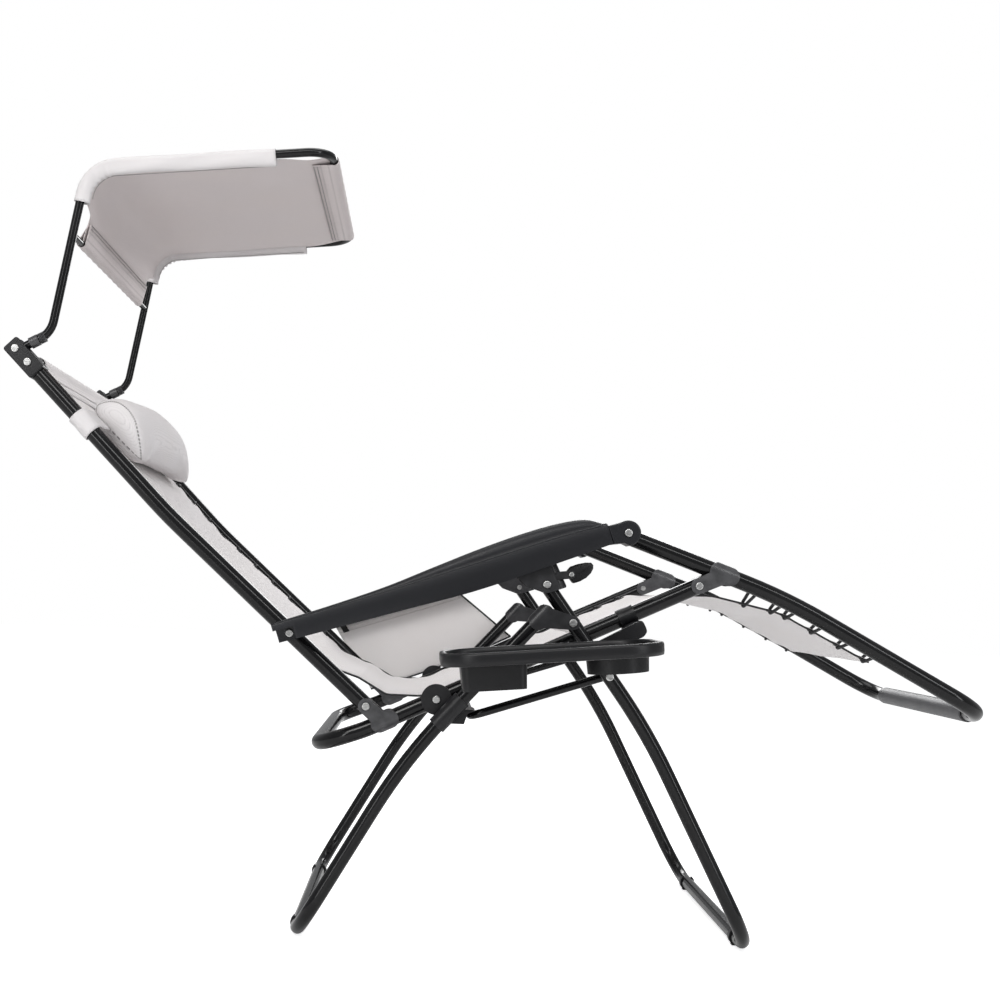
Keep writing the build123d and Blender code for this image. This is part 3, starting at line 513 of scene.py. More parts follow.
def cord_mesh(name, paths, radius, material, sides=8):
    """Round cords along paths, each (points, closed), as one object."""
    verts, faces = [], []
    for points, closed in paths:
        rings = cord_rings(points, radius, closed, sides)
        base = len(verts)
        verts += [v for ring in rings for v in ring]
        total = len(rings)
        for i in range(total if closed else total - 1):
            n = (i + 1) % total
            for k in range(sides):
                m = (k + 1) % sides
                this, other = base + i * sides, base + n * sides
                faces.append((this + k, this + m, other + m, other + k))
        if not closed:
            faces.append(tuple(base + k for k in reversed(range(sides))))
            faces.append(tuple(base + (total - 1) * sides + k for k in range(sides)))
    return add_mesh(name, verts, faces, material)


def rounded(points, radii, pitch=0.008):
    """Side-view path with its corners turned to arcs: a list of (point, heading in degrees)."""
    anchors = [points[0]]
    for before, corner, after, radius in zip(points, points[1:], points[2:], radii):
        incoming, outgoing = aim(before, corner), aim(corner, after)
        turn = (outgoing - incoming + 180) % 360 - 180
        reach = radius * abs(math.tan(math.radians(turn) / 2))
        start, end = go(corner, incoming + 180, reach), go(corner, outgoing, reach)
        steps = max(2, int(abs(math.radians(turn)) * radius / pitch) + 1)
        anchors.append(start)
        side = 90 if turn > 0 else -90
        centre = go(start, incoming + side, radius)
        for i in range(1, steps):
            anchors.append(go(centre, incoming - side + turn * i / steps, radius))
        anchors.append(end)
    anchors.append(points[-1])
    spots = [anchors[0]]
    for a, b in zip(anchors, anchors[1:]):
        length = math.dist(a, b)
        if length < 1e-6:
            continue
        steps = max(1, round(length / pitch))
        for i in range(1, steps + 1):
            spots.append((a[0] + (b[0] - a[0]) * i / steps, a[1] + (b[1] - a[1]) * i / steps))
    headings = []
    for i in range(len(spots)):
        headings.append(aim(spots[max(i - 1, 0)], spots[min(i + 1, len(spots) - 1)]))
    return list(zip(spots, headings))


def between(a, b, share):
    return (a[0] + (b[0] - a[0]) * share, a[1] + (b[1] - a[1]) * share)


def runs(path):
    """Length along a path up to each of its points."""
    total = [0.0]
    for (a, _), (b, _) in zip(path, path[1:]):
        total.append(total[-1] + math.dist(a, b))
    return total


def on_path(path, lengths, run):
    """The point and heading at a length along a path."""
    for i in range(len(path) - 1):
        if lengths[i + 1] >= run:
            share = (run - lengths[i]) / max(lengths[i + 1] - lengths[i], 1e-9)
            (ax, az), turn = path[i]
            bx, bz = path[i + 1][0]
            return (ax + (bx - ax) * share, az + (bz - az) * share), turn
    return path[-1]


def nearest(path, lengths, point):
    return min(zip(lengths, path), key=lambda e: math.dist(e[1][0], point))[0]


def space(point, y):
    return Vector((point[0], MID + y, point[1]))


def smooth(a, b, value):
    share = min(max((value - a) / (b - a), 0.0), 1.0)
    return share * share * (3 - 2 * share)


# ---- slings and their elastic lacing --------------------------------------------------------------

PITCH = 0.045
LACE = 0.0026  # radius
BACK_LOW = go(HIP, BACK_ANGLE, 0.096)
BACK_HIGH = go(TOP_BAR, BACK_TOP_ANGLE + 180, 0.018)
SEAT_SPLIT = go(CLAMP, SEAT_ANGLE, 0.24)  # sewn seam between the two panels
HIP_CURVE = [
    go(go(HIP, BACK_ANGLE, 0.070), BACK_ANGLE - 90, 0.006),
    go(go(HIP, BACK_ANGLE, 0.038), BACK_ANGLE - 90, 0.020),
    go(go(CLAMP, SEAT_ANGLE, -0.070), SEAT_ANGLE + 90, 0.034),
    go(go(CLAMP, SEAT_ANGLE, -0.020), SEAT_ANGLE + 90, 0.010),
]
LEGREST_MIDDLE = from_scissor(0.328, 0.524)
LEGREST_END = from_scissor(0.4695, 0.452)
LEGREST_START = go(KNEE, -24.0, 0.034)
SEAT_FRONT = go(KNEE, SEAT_ANGLE + 180, 0.034)
STARTS = {
    "back": [go(HIP, BACK_ANGLE, 0.138 + PITCH * i) for i in range(6)]
    + [go(BACK_BEND, BACK_TOP_ANGLE, 0.020 + PITCH * i) for i in range(6)],
    "seat": [go(CLAMP, SEAT_ANGLE, 0.0687 + PITCH * i) for i in range(8)],
    "legrest": [go(LEGREST_START, aim(LEGREST_START, LEGREST_MIDDLE), r) for r in (0.048, 0.093)]
    + [go(LEGREST_MIDDLE, aim(LEGREST_MIDDLE, LEGREST_END), r) for r in (0.015, 0.060, 0.105, 0.150)],
}


def half_at(run, holds):
    """The sling's half width: full where a loop holds its edge, drawn in between two loops."""
    before = [h for h in holds if h <= run]
    after = [h for h in holds if h > run]
    if not before or not after:
        gap = run - before[-1] if before else after[0] - run
        return SLING_HALF - min(0.004 + gap * 0.03, 0.009) if gap > 0.01 else SLING_HALF - 0.4 * gap
    gap = after[0] - before[-1]
    share = (run - before[-1]) / gap
    return SLING_HALF - 0.0055 * 4 * share * (1 - share)


def sling_rows(path, holds, sag, columns=49):
    """Points and UVs of a laced panel that sags a little between its side tubes."""
    lengths = runs(path)
    total = lengths[-1]
    rows, uvs = [], []
    for (spot, turn), run in zip(path, lengths):
        half = half_at(run, holds)
        near_hold = min((abs(run - h) for h in holds), default=1.0)
        row, uv = [], []
        for j in range(columns):
            share = -math.cos(math.pi * j / (columns - 1))
            y = share * half
            depth = sag * (1 - share * share) * smooth(0.02, 0.12, run) * smooth(0, 0.06, total - run)
            edge = max(abs(share) - 0.8, 0) / 0.2
            pull = 0.0016 * edge * edge * math.exp(-((near_hold / 0.012) ** 2))
            wave = 0.0009 * math.sin(run * 41 + y * 9) * math.sin(y * 23 + 1.3) * (1 - edge)
            crease = 0.0011 * edge * math.cos(math.tau * run / PITCH)
            down = go(spot, turn - 90, depth + wave + crease - pull)
            row.append(space(down, y))
            uv.append((y + 1.0, run))
        rows.append(row)
        uvs.append(uv)
    return rows, uvs


def hem_line(name, path, run, half, body):
    """A raised double-stitched band across a panel."""
    lengths = runs(path)
    rows, uvs = [], []
    for along in (-0.009, -0.008, 0.0, 0.008, 0.009):
        spot, turn = on_path(path, lengths, run + along)
        lift = 0.0021 if abs(along) < 0.0085 else 0.0008
        rows.append([space(go(spot, turn + 90, lift), half * (k / 12 - 1)) for k in range(25)])
        uvs.append([(k * 0.019, along) for k in range(25)])
    band = grid(name, rows, "hem_fabric", uvs)
    thicken(band, 0.0006)
    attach(band, body)
    return band


def lace_loops(name, path, starts, tube_path, body, replaced):
    """Elastic loops that pass from holes in the tube's inner side through the sling's edge."""
    lengths = runs(path)
    tube_lengths = runs(tube_path)
    paths = []
    for start in starts:
        edge, _ = on_path(path, lengths, nearest(path, lengths, start))
        axis, turn = on_path(tube_path, tube_lengths, nearest(tube_path, tube_lengths, edge))
        tilt_cos, tilt_sin = math.cos(math.radians(turn)), math.sin(math.radians(turn))
        drop = (edge[0] - axis[0]) * -tilt_sin + (edge[1] - axis[1]) * tilt_cos
        for hand in (-1, 1):
            inset = BODY_HALF - SLING_HALF + 0.0065
            reach = math.hypot(inset, drop)
            tilt = math.atan2(drop, inset)
            loop = []
            for k in range(6):
                loop.append((BODY_TUBE - 0.0015 + (reach - BODY_TUBE) * k / 5, 0.0030, -0.0050 + 0.0006 * k))
            for k in range(1, 8):
                a = math.pi * k / 8
                loop.append((reach + 0.0030 * math.sin(a), 0.0030 * math.cos(a), -0.0020 + 0.0040 * k / 8))
            for k in range(6):
                loop.append((reach - 0.0015 - (reach - BODY_TUBE) * k / 5, -0.0030, 0.0020 + 0.0006 * k))
            points = []
            for inward, up, along in loop:
                toward = inward * math.cos(tilt) - up * math.sin(tilt)
                rise = inward * math.sin(tilt) + up * math.cos(tilt)
                spot = go(go(axis, turn + 90, rise), turn, along)
                points.append(space(spot, hand * (BODY_HALF - toward)))
            paths.append((points, False))
    loops = cord_mesh(name, paths, LACE, "lacing")
    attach(loops, body)
    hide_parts(replaced)
    return loops


def edge_beads(name, path, holds, span):
    """The black welt along both scalloped edges, between two lengths of the path."""
    lengths = runs(path)
    paths = []
    for hand in (-1, 1):
        points = []
        for (spot, _), run in zip(path, lengths):
            if span[0] <= run <= span[1]:
                points.append(space(spot, hand * (half_at(run, holds) + 0.0006)))
        paths.append((points, False))
    return cord_mesh(name, paths, 0.0017, "lacing", sides=6)


def sewn_eyes(name, path, starts, span):
    """Dark reinforced eyelets in the sling's edge, where the loops pass."""
    lengths = runs(path)
    paths = []
    for start in starts:
        run = nearest(path, lengths, start)
        if not span[0] <= run <= span[1]:
            continue
        spot, turn = on_path(path, lengths, run)
        for hand in (-1, 1):
            points = []
            for k in range(10):
                a = math.tau * k / 10
                place_at = go(spot, turn, 0.0056 * math.sin(a))
                points.append(space(place_at, hand * (SLING_HALF - 0.0065 + 0.0042 * math.cos(a))))
            paths.append((points, True))
    return cord_mesh(name, paths, 0.0021, "lacing", sides=6)


def make_slings():
    body_path = [BACK_HIGH, BACK_BEND, BACK_LOW, *HIP_CURVE, SEAT_SPLIT]
    main = rounded(body_path, [0.5, 0.06, 0.03, 0.02, 0.02, 0.04], 0.0075)
    main_lengths = runs(main)
    starts = STARTS["back"] + STARTS["seat"][:4]
    holds = sorted(nearest(main, main_lengths, s) for s in starts)
    rows, uvs = sling_rows(main, holds, 0.005)
    sling = grid("sling_upper", rows, "mesh_fabric", uvs)
    thicken(sling, 0.0012)
    tail = go(BACK_HIGH, BACK_TOP_ANGLE + 180, 0.012)
    round_bar = [go(TOP_BAR, BACK_TOP_ANGLE + a, 0.0110) for a in range(-150, 151, 30)]
    top_rows, top_uvs = [], []
    for i, spot in enumerate([tail, BACK_HIGH, *round_bar, BACK_HIGH, tail]):
        top_rows.append([space(spot, (SLING_HALF - 0.012) * (k / 16 - 1)) for k in range(33)])
        top_uvs.append([(k * 0.0135, i * 0.005) for k in range(33)])
    hem = grid("sling_top_hem", top_rows, "mesh_fabric", top_uvs)
    thicken(hem, 0.0011)
    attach(hem, "back")
    stitch = hem_line("sling_top_stitching", main, 0.028, SLING_HALF - 0.014, "back")
    total = main_lengths[-1]
    split = nearest(main, main_lengths, BACK_LOW)
    welts = edge_beads("sling_upper_welt", main, holds, (0.0, total))
    eyes_back = sewn_eyes("sling_back_eyes", main, STARTS["back"], (0, split))
    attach(eyes_back, "back")
    eyes_seat = sewn_eyes("sling_seat_eyes", main, STARTS["seat"][:4], (split, total))
    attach(eyes_seat, "seat")
    bend_from = space(go(HIP, BACK_ANGLE, 0.070), 0)
    bend_to = space(go(go(CLAMP, SEAT_ANGLE, -0.010), SEAT_ANGLE + 90, 0.010), 0)
    for piece in (sling, welts):
        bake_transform(piece)
    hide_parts("back_sling", "seat_sling")

    lower = rounded(
        [SEAT_SPLIT, SEAT_FRONT, LEGREST_START, LEGREST_MIDDLE, LEGREST_END], [0.07, 0.05, 0.1], 0.0075
    )
    lengths = runs(lower)
    knee_run = nearest(lower, lengths, KNEE)
    starts = STARTS["seat"][4:] + STARTS["legrest"]
    holds = sorted(nearest(lower, lengths, s) for s in starts)
    rows, uvs = sling_rows(lower, holds, 0.009)
    panel = grid("sling_lower", rows, "mesh_fabric", uvs)
    thicken(panel, 0.0012)
    seam = hem_line("sling_seat_seam", lower, 0.012, SLING_HALF - 0.006, "seat")
    toe_hem = hem_line("sling_toe_hem", lower, lengths[-1] - 0.012, SLING_HALF - 0.010, "legrest")
    welts = edge_beads("sling_lower_welt", lower, holds, (0.0, lengths[-1]))
    eyes_seat = sewn_eyes("sling_knee_eyes", lower, STARTS["seat"][4:], (0, knee_run))
    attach(eyes_seat, "seat")
    eyes_leg = sewn_eyes("sling_legrest_eyes", lower, STARTS["legrest"], (knee_run, lengths[-1]))
    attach(eyes_leg, "legrest")
    for piece in (panel, welts):
        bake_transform(piece)
    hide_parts("legrest_sling")

    back_tube = rounded([go(HIP, BACK_ANGLE, 0.0), BACK_BEND, TOP_SCREW], [0.9], 0.004)
    seat_tube = rounded([CLAMP, KNEE], [], 0.004)
    toe = go(LEGREST_BEND, LEGREST_TOE_ANGLE, 0.3567)
    legrest_tube = rounded([ARM_FRONT, LEGREST_BEND, toe], [0.9], 0.004)
    lace_loops("back_loops", main, STARTS["back"], back_tube, "back", "back_lacing")
    seat_path = rounded([CLAMP, SEAT_FRONT], [], 0.004)
    lace_loops("seat_loops", seat_path, STARTS["seat"], seat_tube, "seat", "seat_lacing")
    lace_loops("legrest_loops", lower, STARTS["legrest"], legrest_tube, "legrest", "legrest_lacing")


# ---- canopy ---------------------------------------------------------------------------------------

CANOPY_UP = aim(CANOPY_KNEE, CANOPY_CORNER)
CANOPY_OUT = aim(CANOPY_CORNER, CANOPY_FRONT)
CANOPY_BAR = go(CANOPY_CORNER, CANOPY_UP + 180, 0.108)
SLEEVE_START = go(CANOPY_CORNER, CANOPY_UP + 180, 0.056)
SLEEVE_END = go(CANOPY_CORNER, CANOPY_OUT, 0.289)
SLEEVE_DROP = 0.0135


def rod_hem(name, axis, toward, radius, tail, half, body):
    """Cloth turned round a rod across the chair and sewn to itself: toward is the tail's heading."""
    section = []
    for k in range(19):
        a = 62 + (360 - 124) * k / 18
        section.append(go(axis, toward + a, radius))
    section.append(go(go(axis, toward, tail), toward - 90, 0.0012))
    section.insert(0, go(go(axis, toward, tail), toward + 90, 0.0012))
    rows, uvs = [], []
    for i, spot in enumerate(section):
        row, uv = [], []
        for j in range(45):
            share = j / 22 - 1
            slack = 0.0006 * math.sin(j * 1.7 + i * 0.4) * (0.3 + 0.7 * (i in range(4, 17)))
            away = math.dist(spot, axis)
            out = ((spot[0] - axis[0]) / away, (spot[1] - axis[1]) / away)
            spot_now = (spot[0] + out[0] * slack, spot[1] + out[1] * slack)
            row.append(space(spot_now, share * half))
            uv.append((share * half + 1, i * 0.004))
        rows.append(row)
        uvs.append(uv)
    hem = grid(name, rows, "canopy_fabric", uvs)
    thicken(hem, 0.0007)
    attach(hem, body)
    return hem


def canopy_half(run, marks):
    """Half width of the canopy's panel: cut in below the sleeves and at the front corners."""
    sleeve_from, sleeve_to, total = marks
    full, rear, front = 0.2560, 0.212, 0.237
    if run < sleeve_from + 0.012:
        return rear + (full - rear) * smooth(sleeve_from - 0.006, sleeve_from + 0.010, run)
    return full - (full - front) * smooth(sleeve_to + 0.004, total - 0.022, run)


def make_canopy():
    arm = rounded([CANOPY_BAR, CANOPY_CORNER, CANOPY_FRONT], [0.056], 0.005)
    lengths = runs(arm)
    total = lengths[-1]
    marks = (nearest(arm, lengths, SLEEVE_START), nearest(arm, lengths, SLEEVE_END), total)
    rows, uvs = [], []
    for (spot, turn), run in zip(arm, lengths):
        half = canopy_half(run, marks)
        drop = SLEEVE_DROP * smooth(0.004, 0.05, run) * smooth(0.0, 0.05, total - run)
        edge_drop = 0.0015 + drop * 0.30
        row, uv = [], []
        for j in range(61):
            share = -math.cos(math.pi * j / 60)
            slack = 0.003 * (1 - share * share) * smooth(0.0, 0.12, run) * smooth(0.0, 0.12, total - run)
            in_bend = math.exp(-(((run - marks[0] - 0.06) / 0.035) ** 2))
            fold = 0.0022 * in_bend * math.sin(share * 19) * abs(share) ** 2
            ripple = 0.0009 * math.sin(run * 31 + share * 4) * math.sin(share * 11 + 0.6)
            down = go(spot, turn - 90, edge_drop + slack + fold + ripple)
            row.append(space(down, share * half))
            uv.append((share * half + 1, run))
        rows.append(row)
        uvs.append(uv)
    cover = grid("canopy_cloth", rows, "canopy_fabric", uvs)
    thicken(cover, 0.0008)
    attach(cover, "canopy")
    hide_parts("canopy_cover")
    parts = [
        rod_hem("canopy_rear_hem", CANOPY_BAR, CANOPY_UP - 12, 0.0066, 0.034, 0.2115, "canopy"),
        rod_hem("canopy_front_hem", CANOPY_FRONT, CANOPY_OUT + 180 + 10, 0.0084, 0.034, 0.2205, "canopy"),
    ]
    for hand, label in ((-1, "right"), (1, "left")):
        parts.append(canopy_sleeve(f"canopy_sleeve_{label}", arm, lengths, marks, hand))
    seams = []
    for hand in (-1, 1):
        line = []
        for (spot, turn), run in zip(arm, lengths):
            if marks[0] + 0.01 < run < marks[1]:
                line.append(space(go(spot, turn - 90, 0.0163), hand * (BODY_HALF - 0.0052)))
        seams.append((line, False))
    for axis, toward, half in ((CANOPY_BAR, CANOPY_UP - 12, 0.207), (CANOPY_FRONT, CANOPY_OUT + 190, 0.216)):
        for tail, side_of in ((0.0325, 90), (0.0325, -90), (0.0275, 90), (0.0275, -90)):
            spot = go(go(axis, toward, tail), toward + side_of, 0.0026 + (0.0325 - tail) * 0.25)
            row = [space(spot, half * (k / 27 - 1)) for k in range(55)]
            seams += [([a, a.lerp(b, 0.6)], False) for a, b in zip(row, row[1:])]
    stitching = cord_mesh("canopy_seams", seams, 0.0006, "thread", sides=6)
    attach(stitching, "canopy")
    springs = []
    for hand in (-1, 1):
        way = aim(CANOPY_FOOT, CANOPY_KNEE)
        coil = []
        for k in range(70):
            a = math.tau * k / 14
            spot = go(go(CANOPY_FOOT, way, 0.0370 + 0.010 * k / 69), way + 90, 0.0078 * math.cos(a))
            coil.append(space(spot, hand * BODY_HALF + 0.0078 * math.sin(a)))
        springs.append((coil, False))
    coils = cord_mesh("canopy_springs", springs, 0.0008, "grey_bracket", sides=6)
    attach(coils, "canopy")


def canopy_sleeve(name, arm, lengths, marks, hand):
    """The cloth tunnel round one arm, drawn down to its seam and creased in the bend."""
    rows, uvs = [], []
    spots = [(s, t, r) for (s, t), r in zip(arm, lengths) if marks[0] <= r <= marks[1]]
    for spot, turn, run in spots:
        row, uv = [], []
        bend = math.exp(-(((run - marks[0] - 0.055) / 0.036) ** 2))
        for k in range(28):
            a = math.tau * k / 28
            below = max(-math.sin(a), 0) ** 2.2
            crease = bend * 0.0021 * math.sin(run * 520 + 2.2 * math.sin(a * 2)) * (0.35 + 0.65 * below)
            slack = 0.0007 * math.sin(run * 47 + a * 3)
            drawn = 0.0078 * below * (1 + 0.25 * smooth(marks[1] - 0.16, marks[1], run))
            radius = max(0.0080 + drawn + crease + slack, 0.0079)
            side_share = 1.0 if math.cos(a) * hand < 0 else 1.05
            down = go(spot, turn + 90, radius * math.sin(a))
            row.append(space(down, hand * BODY_HALF + radius * math.cos(a) * side_share * (1 - 0.35 * below)))
            uv.append((k * 0.0022, run))
        rows.append(row)
        uvs.append(uv)
    sleeve = grid(name, rows, "hem_fabric", uvs, close=True)
    thicken(sleeve, 0.0008)
    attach(sleeve, "canopy")
    return sleeve


# ---- pillow ---------------------------------------------------------------------------------------

PILLOW_HALF = 0.215
PILLOW_BACK = 0.0042  # its flat underside lies this far in front of the back tubes' plane
PILLOW_END = [
    (0.232, 0.023), (0.216, 0.052), (0.197, 0.064), (0.172, 0.066), (0.149, 0.060),
    (0.115, 0.038), (0.087, 0.017), (0.092, 0.010), (0.160, 0.0075), (0.215, 0.0075),
]


def beside_back(along, front):
    """Side-view point from the back's bend: along the top run, and out towards the sitter."""
    return go(go(BACK_BEND, BACK_TOP_ANGLE, along), BACK_TOP_ANGLE - 90, front)


def make_pillow():
    shrink = 0.93
    middle = (0.160, 0.036)
    ring = []
    for along, front in PILLOW_END:
        shrunk = (middle[0] + (along - middle[0]) * shrink, middle[1] + (front - middle[1]) * shrink)
        ring.append((shrunk[0], shrunk[1] + 0.002))
    dense = closed_outline(ring, 3)
    stations = 41
    rows = []
    for i in range(stations):
        share = i / 20 - 1
        pinch = 1 - 0.10 * max(abs(share) - 0.9, 0) / 0.1
        swell = 1 + 0.07 * (1 - share * share)
        row = []
        for along, front in dense:
            near_middle = middle[0] + (along - middle[0]) * pinch
            spot = beside_back(near_middle, 0.007 + (front - 0.007) * pinch * swell)
            row.append(space(spot, share * (PILLOW_HALF - 0.008)))
        rows.append(row)
    pillow = grid("pillow_cushion", rows, "hem_fabric", close=True)
    fill_ends(pillow)
    puff(pillow, 0.006, 0.011)
    facing = math.radians(BACK_TOP_ANGLE - 90)
    outward = Vector((math.cos(facing), 0, math.sin(facing)))
    for vertex in pillow.data.vertices:
        front = (vertex.co - space(BACK_BEND, 0)).dot(outward)
        if front < PILLOW_BACK:
            vertex.co += outward * (PILLOW_BACK - front) * 0.94
    pillow.data.materials.clear()
    pillow.data.materials.append(MATERIALS["pillow_fabric"])
    for polygon in pillow.data.polygons:
        polygon.use_smooth = True
    tree = BVHTree.FromObject(pillow, bpy.context.evaluated_depsgraph_get())
    lines = []
    outline = closed_outline(PILLOW_END, 6)
    for hand in (-1, 1):
        for inset, lift in ((0.0, 0.0004), (0.0045, -0.0003)):
            points = []
            for along, front in outline:
                spot = space(beside_back(along, front), hand * (PILLOW_HALF - 0.004 - inset))
                found, normal, _, _ = tree.find_nearest(spot)
                points.append(found + normal * lift)
            points = relax(points, 3)
            lines += [([a, a.lerp(b, 0.62)], False) for a, b in zip(points, points[1:] + points[:1])]
    welts = cord_mesh("pillow_stitches", lines, 0.0007, "thread", sides=6)
    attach(pillow, "pillow")
    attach(welts, "pillow")
    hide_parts("pillow")
    make_pillow_straps()


def relax(points, times):
    for _ in range(times):
        after = points[1:] + points[:1]
        points = [(points[i - 1] + points[i] * 2 + after[i]) / 4 for i in range(len(points))]
    return points


def closed_outline(points, steps):
    """A closed outline with each side cut into steps."""
    dense = []
    for a, b in zip(points, points[1:] + points[:1]):
        dense += [(a[0] + (b[0] - a[0]) * k / steps, a[1] + (b[1] - a[1]) * k / steps) for k in range(steps)]
    return dense


def fill_ends(obj):
    work = bmesh.new()
    work.from_mesh(obj.data)
    edges = [e for e in work.edges if e.is_boundary]
    bmesh.ops.holes_fill(work, edges=edges, sides=0)
    bmesh.ops.recalc_face_normals(work, faces=work.faces)
    work.to_mesh(obj.data)
    work.free()


def puff(obj, voxel, cap):
    """Remeshes a closed piece and lets cloth pressure fill it, with no point moving beyond the cap."""
    bpy.context.view_layer.objects.active = obj
    remesh = obj.modifiers.new("remesh", "REMESH")
    remesh.mode = "VOXEL"
    remesh.voxel_size = voxel
    apply_modifiers(obj)
    start = [v.co.copy() for v in obj.data.vertices]
    cloth = obj.modifiers.new("cloth", "CLOTH")
    cloth.settings.use_pressure = True
    cloth.settings.uniform_pressure_force = 4.0
    cloth.settings.effector_weights.gravity = 0.0
    cloth.point_cache.frame_start = 1
    cloth.point_cache.frame_end = 20
    for number in range(1, 21):
        bpy.context.scene.frame_set(number)
    apply_modifiers(obj)
    bpy.context.scene.frame_set(1)
    for vertex, before in zip(obj.data.vertices, start):
        moved = vertex.co - before
        if moved.length > cap:
            vertex.co = before + moved.normalized() * cap
    soften = obj.modifiers.new("soften", "SMOOTH")
    soften.iterations = 30
    finer = obj.modifiers.new("finer", "SUBSURF")
    finer.levels = 1
    apply_modifiers(obj)


def make_pillow_straps():
    run = 0.082 + 0.155 / 2 + 0.0275
    half_band = 0.019
    for hand in (-1, 1):
        rows, uvs = [], []
        for k in range(9):
            along = run - half_band + half_band * k / 4
            row, uv = [], []
            tail = [(0.207, 0.0175), (0.214, 0.0168), (0.226, 0.0158), (0.238, 0.0152), (0.250, 0.0152)]
            for y, front in tail:
                row.append((y, front))
            for step_angle in range(100, -215, -15):
                a = math.radians(step_angle)
                row.append((BODY_HALF + 0.0146 * math.cos(a), 0.0146 * math.sin(a)))
            points = []
            for number, (y, front) in enumerate(row):
                wave = 0.0005 * math.sin(number * 1.3 + k * 0.8)
                points.append(space(beside_back(along, front + wave), hand * y))
                uv.append((number * 0.004, along))
            rows.append(points)
            uvs.append(uv)
        band = grid(f"pillow_strap_{'right' if hand < 0 else 'left'}", rows, "hem_fabric", uvs)
        thicken(band, 0.0012)
        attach(band, "pillow")
    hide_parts("pillow_straps")


# ---- armrests, tray and pouch -----------------------------------------------------------------------

ARM_ANGLE = aim(ARM_REAR, ARM_FRONT)
ARM_LENGTH = math.dist(ARM_REAR, ARM_FRONT)
ARM_IN, ARM_OUT = 0.2751, 0.3190
ARM_MIDDLE = (ARM_IN + ARM_OUT) / 2


def on_arm(run, height, y):
    """Point of an armrest: run from its rear pivot, height over the pivots' line, y from the middle."""
    return space(go(go(ARM_REAR, ARM_ANGLE, run), ARM_ANGLE + 90, height), y)


def curve_at(knots, value):
    """Smooth value through knots (place, height)."""
    if value <= knots[0][0]:
        return knots[0][1]
    if value >= knots[-1][0]:
        return knots[-1][1]
    for i in range(len(knots) - 1):
        (a, ha), (b, hb) = knots[i], knots[i + 1]
        if value <= b:
            before = knots[max(i - 1, 0)]
            after = knots[min(i + 2, len(knots) - 1)]
            slope_a = (hb - before[1]) / max(b - before[0], 1e-9)
            slope_b = (after[1] - ha) / max(after[0] - a, 1e-9)
            t = (value - a) / (b - a)
            step_size = b - a
            return (
                (2 * t**3 - 3 * t**2 + 1) * ha + (t**3 - 2 * t**2 + t) * step_size * slope_a
                + (-2 * t**3 + 3 * t**2) * hb + (t**3 - t**2) * step_size * slope_b
            )


ARM_SPAN = 0.529  # the length that the shares below are of


def arm_knots(first, *shares):
    """Knots for curve_at: the first as it is, the rest as (share of the armrest's span, height)."""
    return [first] + [(share * ARM_SPAN, height) for share, height in shares]


UNDER = arm_knots((-0.019, -0.010), (0.33, -0.0155), (0.55, -0.0185), (0.81, -0.013), (0.95, -0.009))
OVER = arm_knots((-0.019, 0.019), (0.3, 0.0185), (0.55, 0.0205), (0.8, 0.0230), (0.95, 0.0215))
CREST = arm_knots(
    (-0.015, 0.0212), (0.12, 0.0220), (0.3, 0.0258), (0.45, 0.0335), (0.6, 0.0408),
    (0.75, 0.0445), (0.85, 0.0425), (0.905, 0.0365), (0.945, 0.0235),
)
REAR_CUT = 0.012  # the outer wall is cut away round the rear screw up to here
REAR_CUT_HEIGHT = 0.009


def arm_section(run):
    """Closed section of the hollow armrest at a length: outer skin, then the pocket's skin."""
    under, over = curve_at(UNDER, run), curve_at(OVER, run)
    crest = max(curve_at(CREST, run), over + 0.0006)
    wide, inset, wall = (ARM_OUT - ARM_IN) / 2, 0.0042, 0.003
    rise = crest - over
    outer = [(wide - 0.0004, under), (wide, under + 0.0012), (wide, (under + over) / 2)]
    outer.append((wide, over - 0.0018))
    outer += [(wide - 0.0006, over - 0.0005), (wide - 0.0020, over), (wide - inset + 0.0006, over - 0.0004)]
    outer += [(wide - inset, over + 0.0003)]
    pad = wide - inset
    for k in range(1, 9):
        a = math.radians(90 * k / 8)
        outer.append((pad * (math.cos(a) ** 0.55 if k < 8 else 0.0), over + rise * (math.sin(a) ** 0.8)))
    outer += [(-y, z) for y, z in reversed(outer[:-1])]
    if run < REAR_CUT:
        outer = [(y, max(z, REAR_CUT_HEIGHT)) if y > 0 else (y, z) for y, z in outer]
    top = over - 0.0035 + 0.5 * rise
    inner = [(-wide + wall, under), (-wide + wall, over - 0.006), (-wide + wall + 0.004, top)]
    inner.append((0.0, top + 0.0005))
    inner += [(wide - wall - 0.004, top), (wide - wall, over - 0.006)]
    inner.append((wide - wall, REAR_CUT_HEIGHT if run < REAR_CUT else under))
    return outer + inner


def make_armrests():
    for hand, label in ((-1, "right"), (1, "left")):
        rows = []
        stations = [-0.019 + (0.95 * ARM_LENGTH + 0.019) * i / 90 for i in range(91)]
        stations = sorted(stations + [REAR_CUT - 0.00005, REAR_CUT + 0.00005])
        for run in stations:
            section = arm_section(run)
            row = []
            for y, height in section:
                row.append(on_arm(run, height, hand * (ARM_MIDDLE + y)))
            rows.append(row)
        body = grid(f"armrest_shell_{label}", rows, "armrest_plastic", close=True)
        nose = arm_nose(label, hand)
        beads = []
        for y in (0.0205, -0.0205):
            line = [on_arm(run, curve_at(OVER, run), hand * (ARM_MIDDLE + y)) for run in stations[1:-1]]
            beads.append((line, False))
        bead = cord_mesh("bead", beads, 0.0012, "armrest_plastic", 8)
        shell = join(f"armrest_shell_{label}", [body, nose, bead])
        recalc(shell)
        edges = shell.modifiers.new("edges", "EDGE_SPLIT")
        edges.split_angle = math.radians(50)
        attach(shell, "armrest")
        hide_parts(f"armrest_{label}")


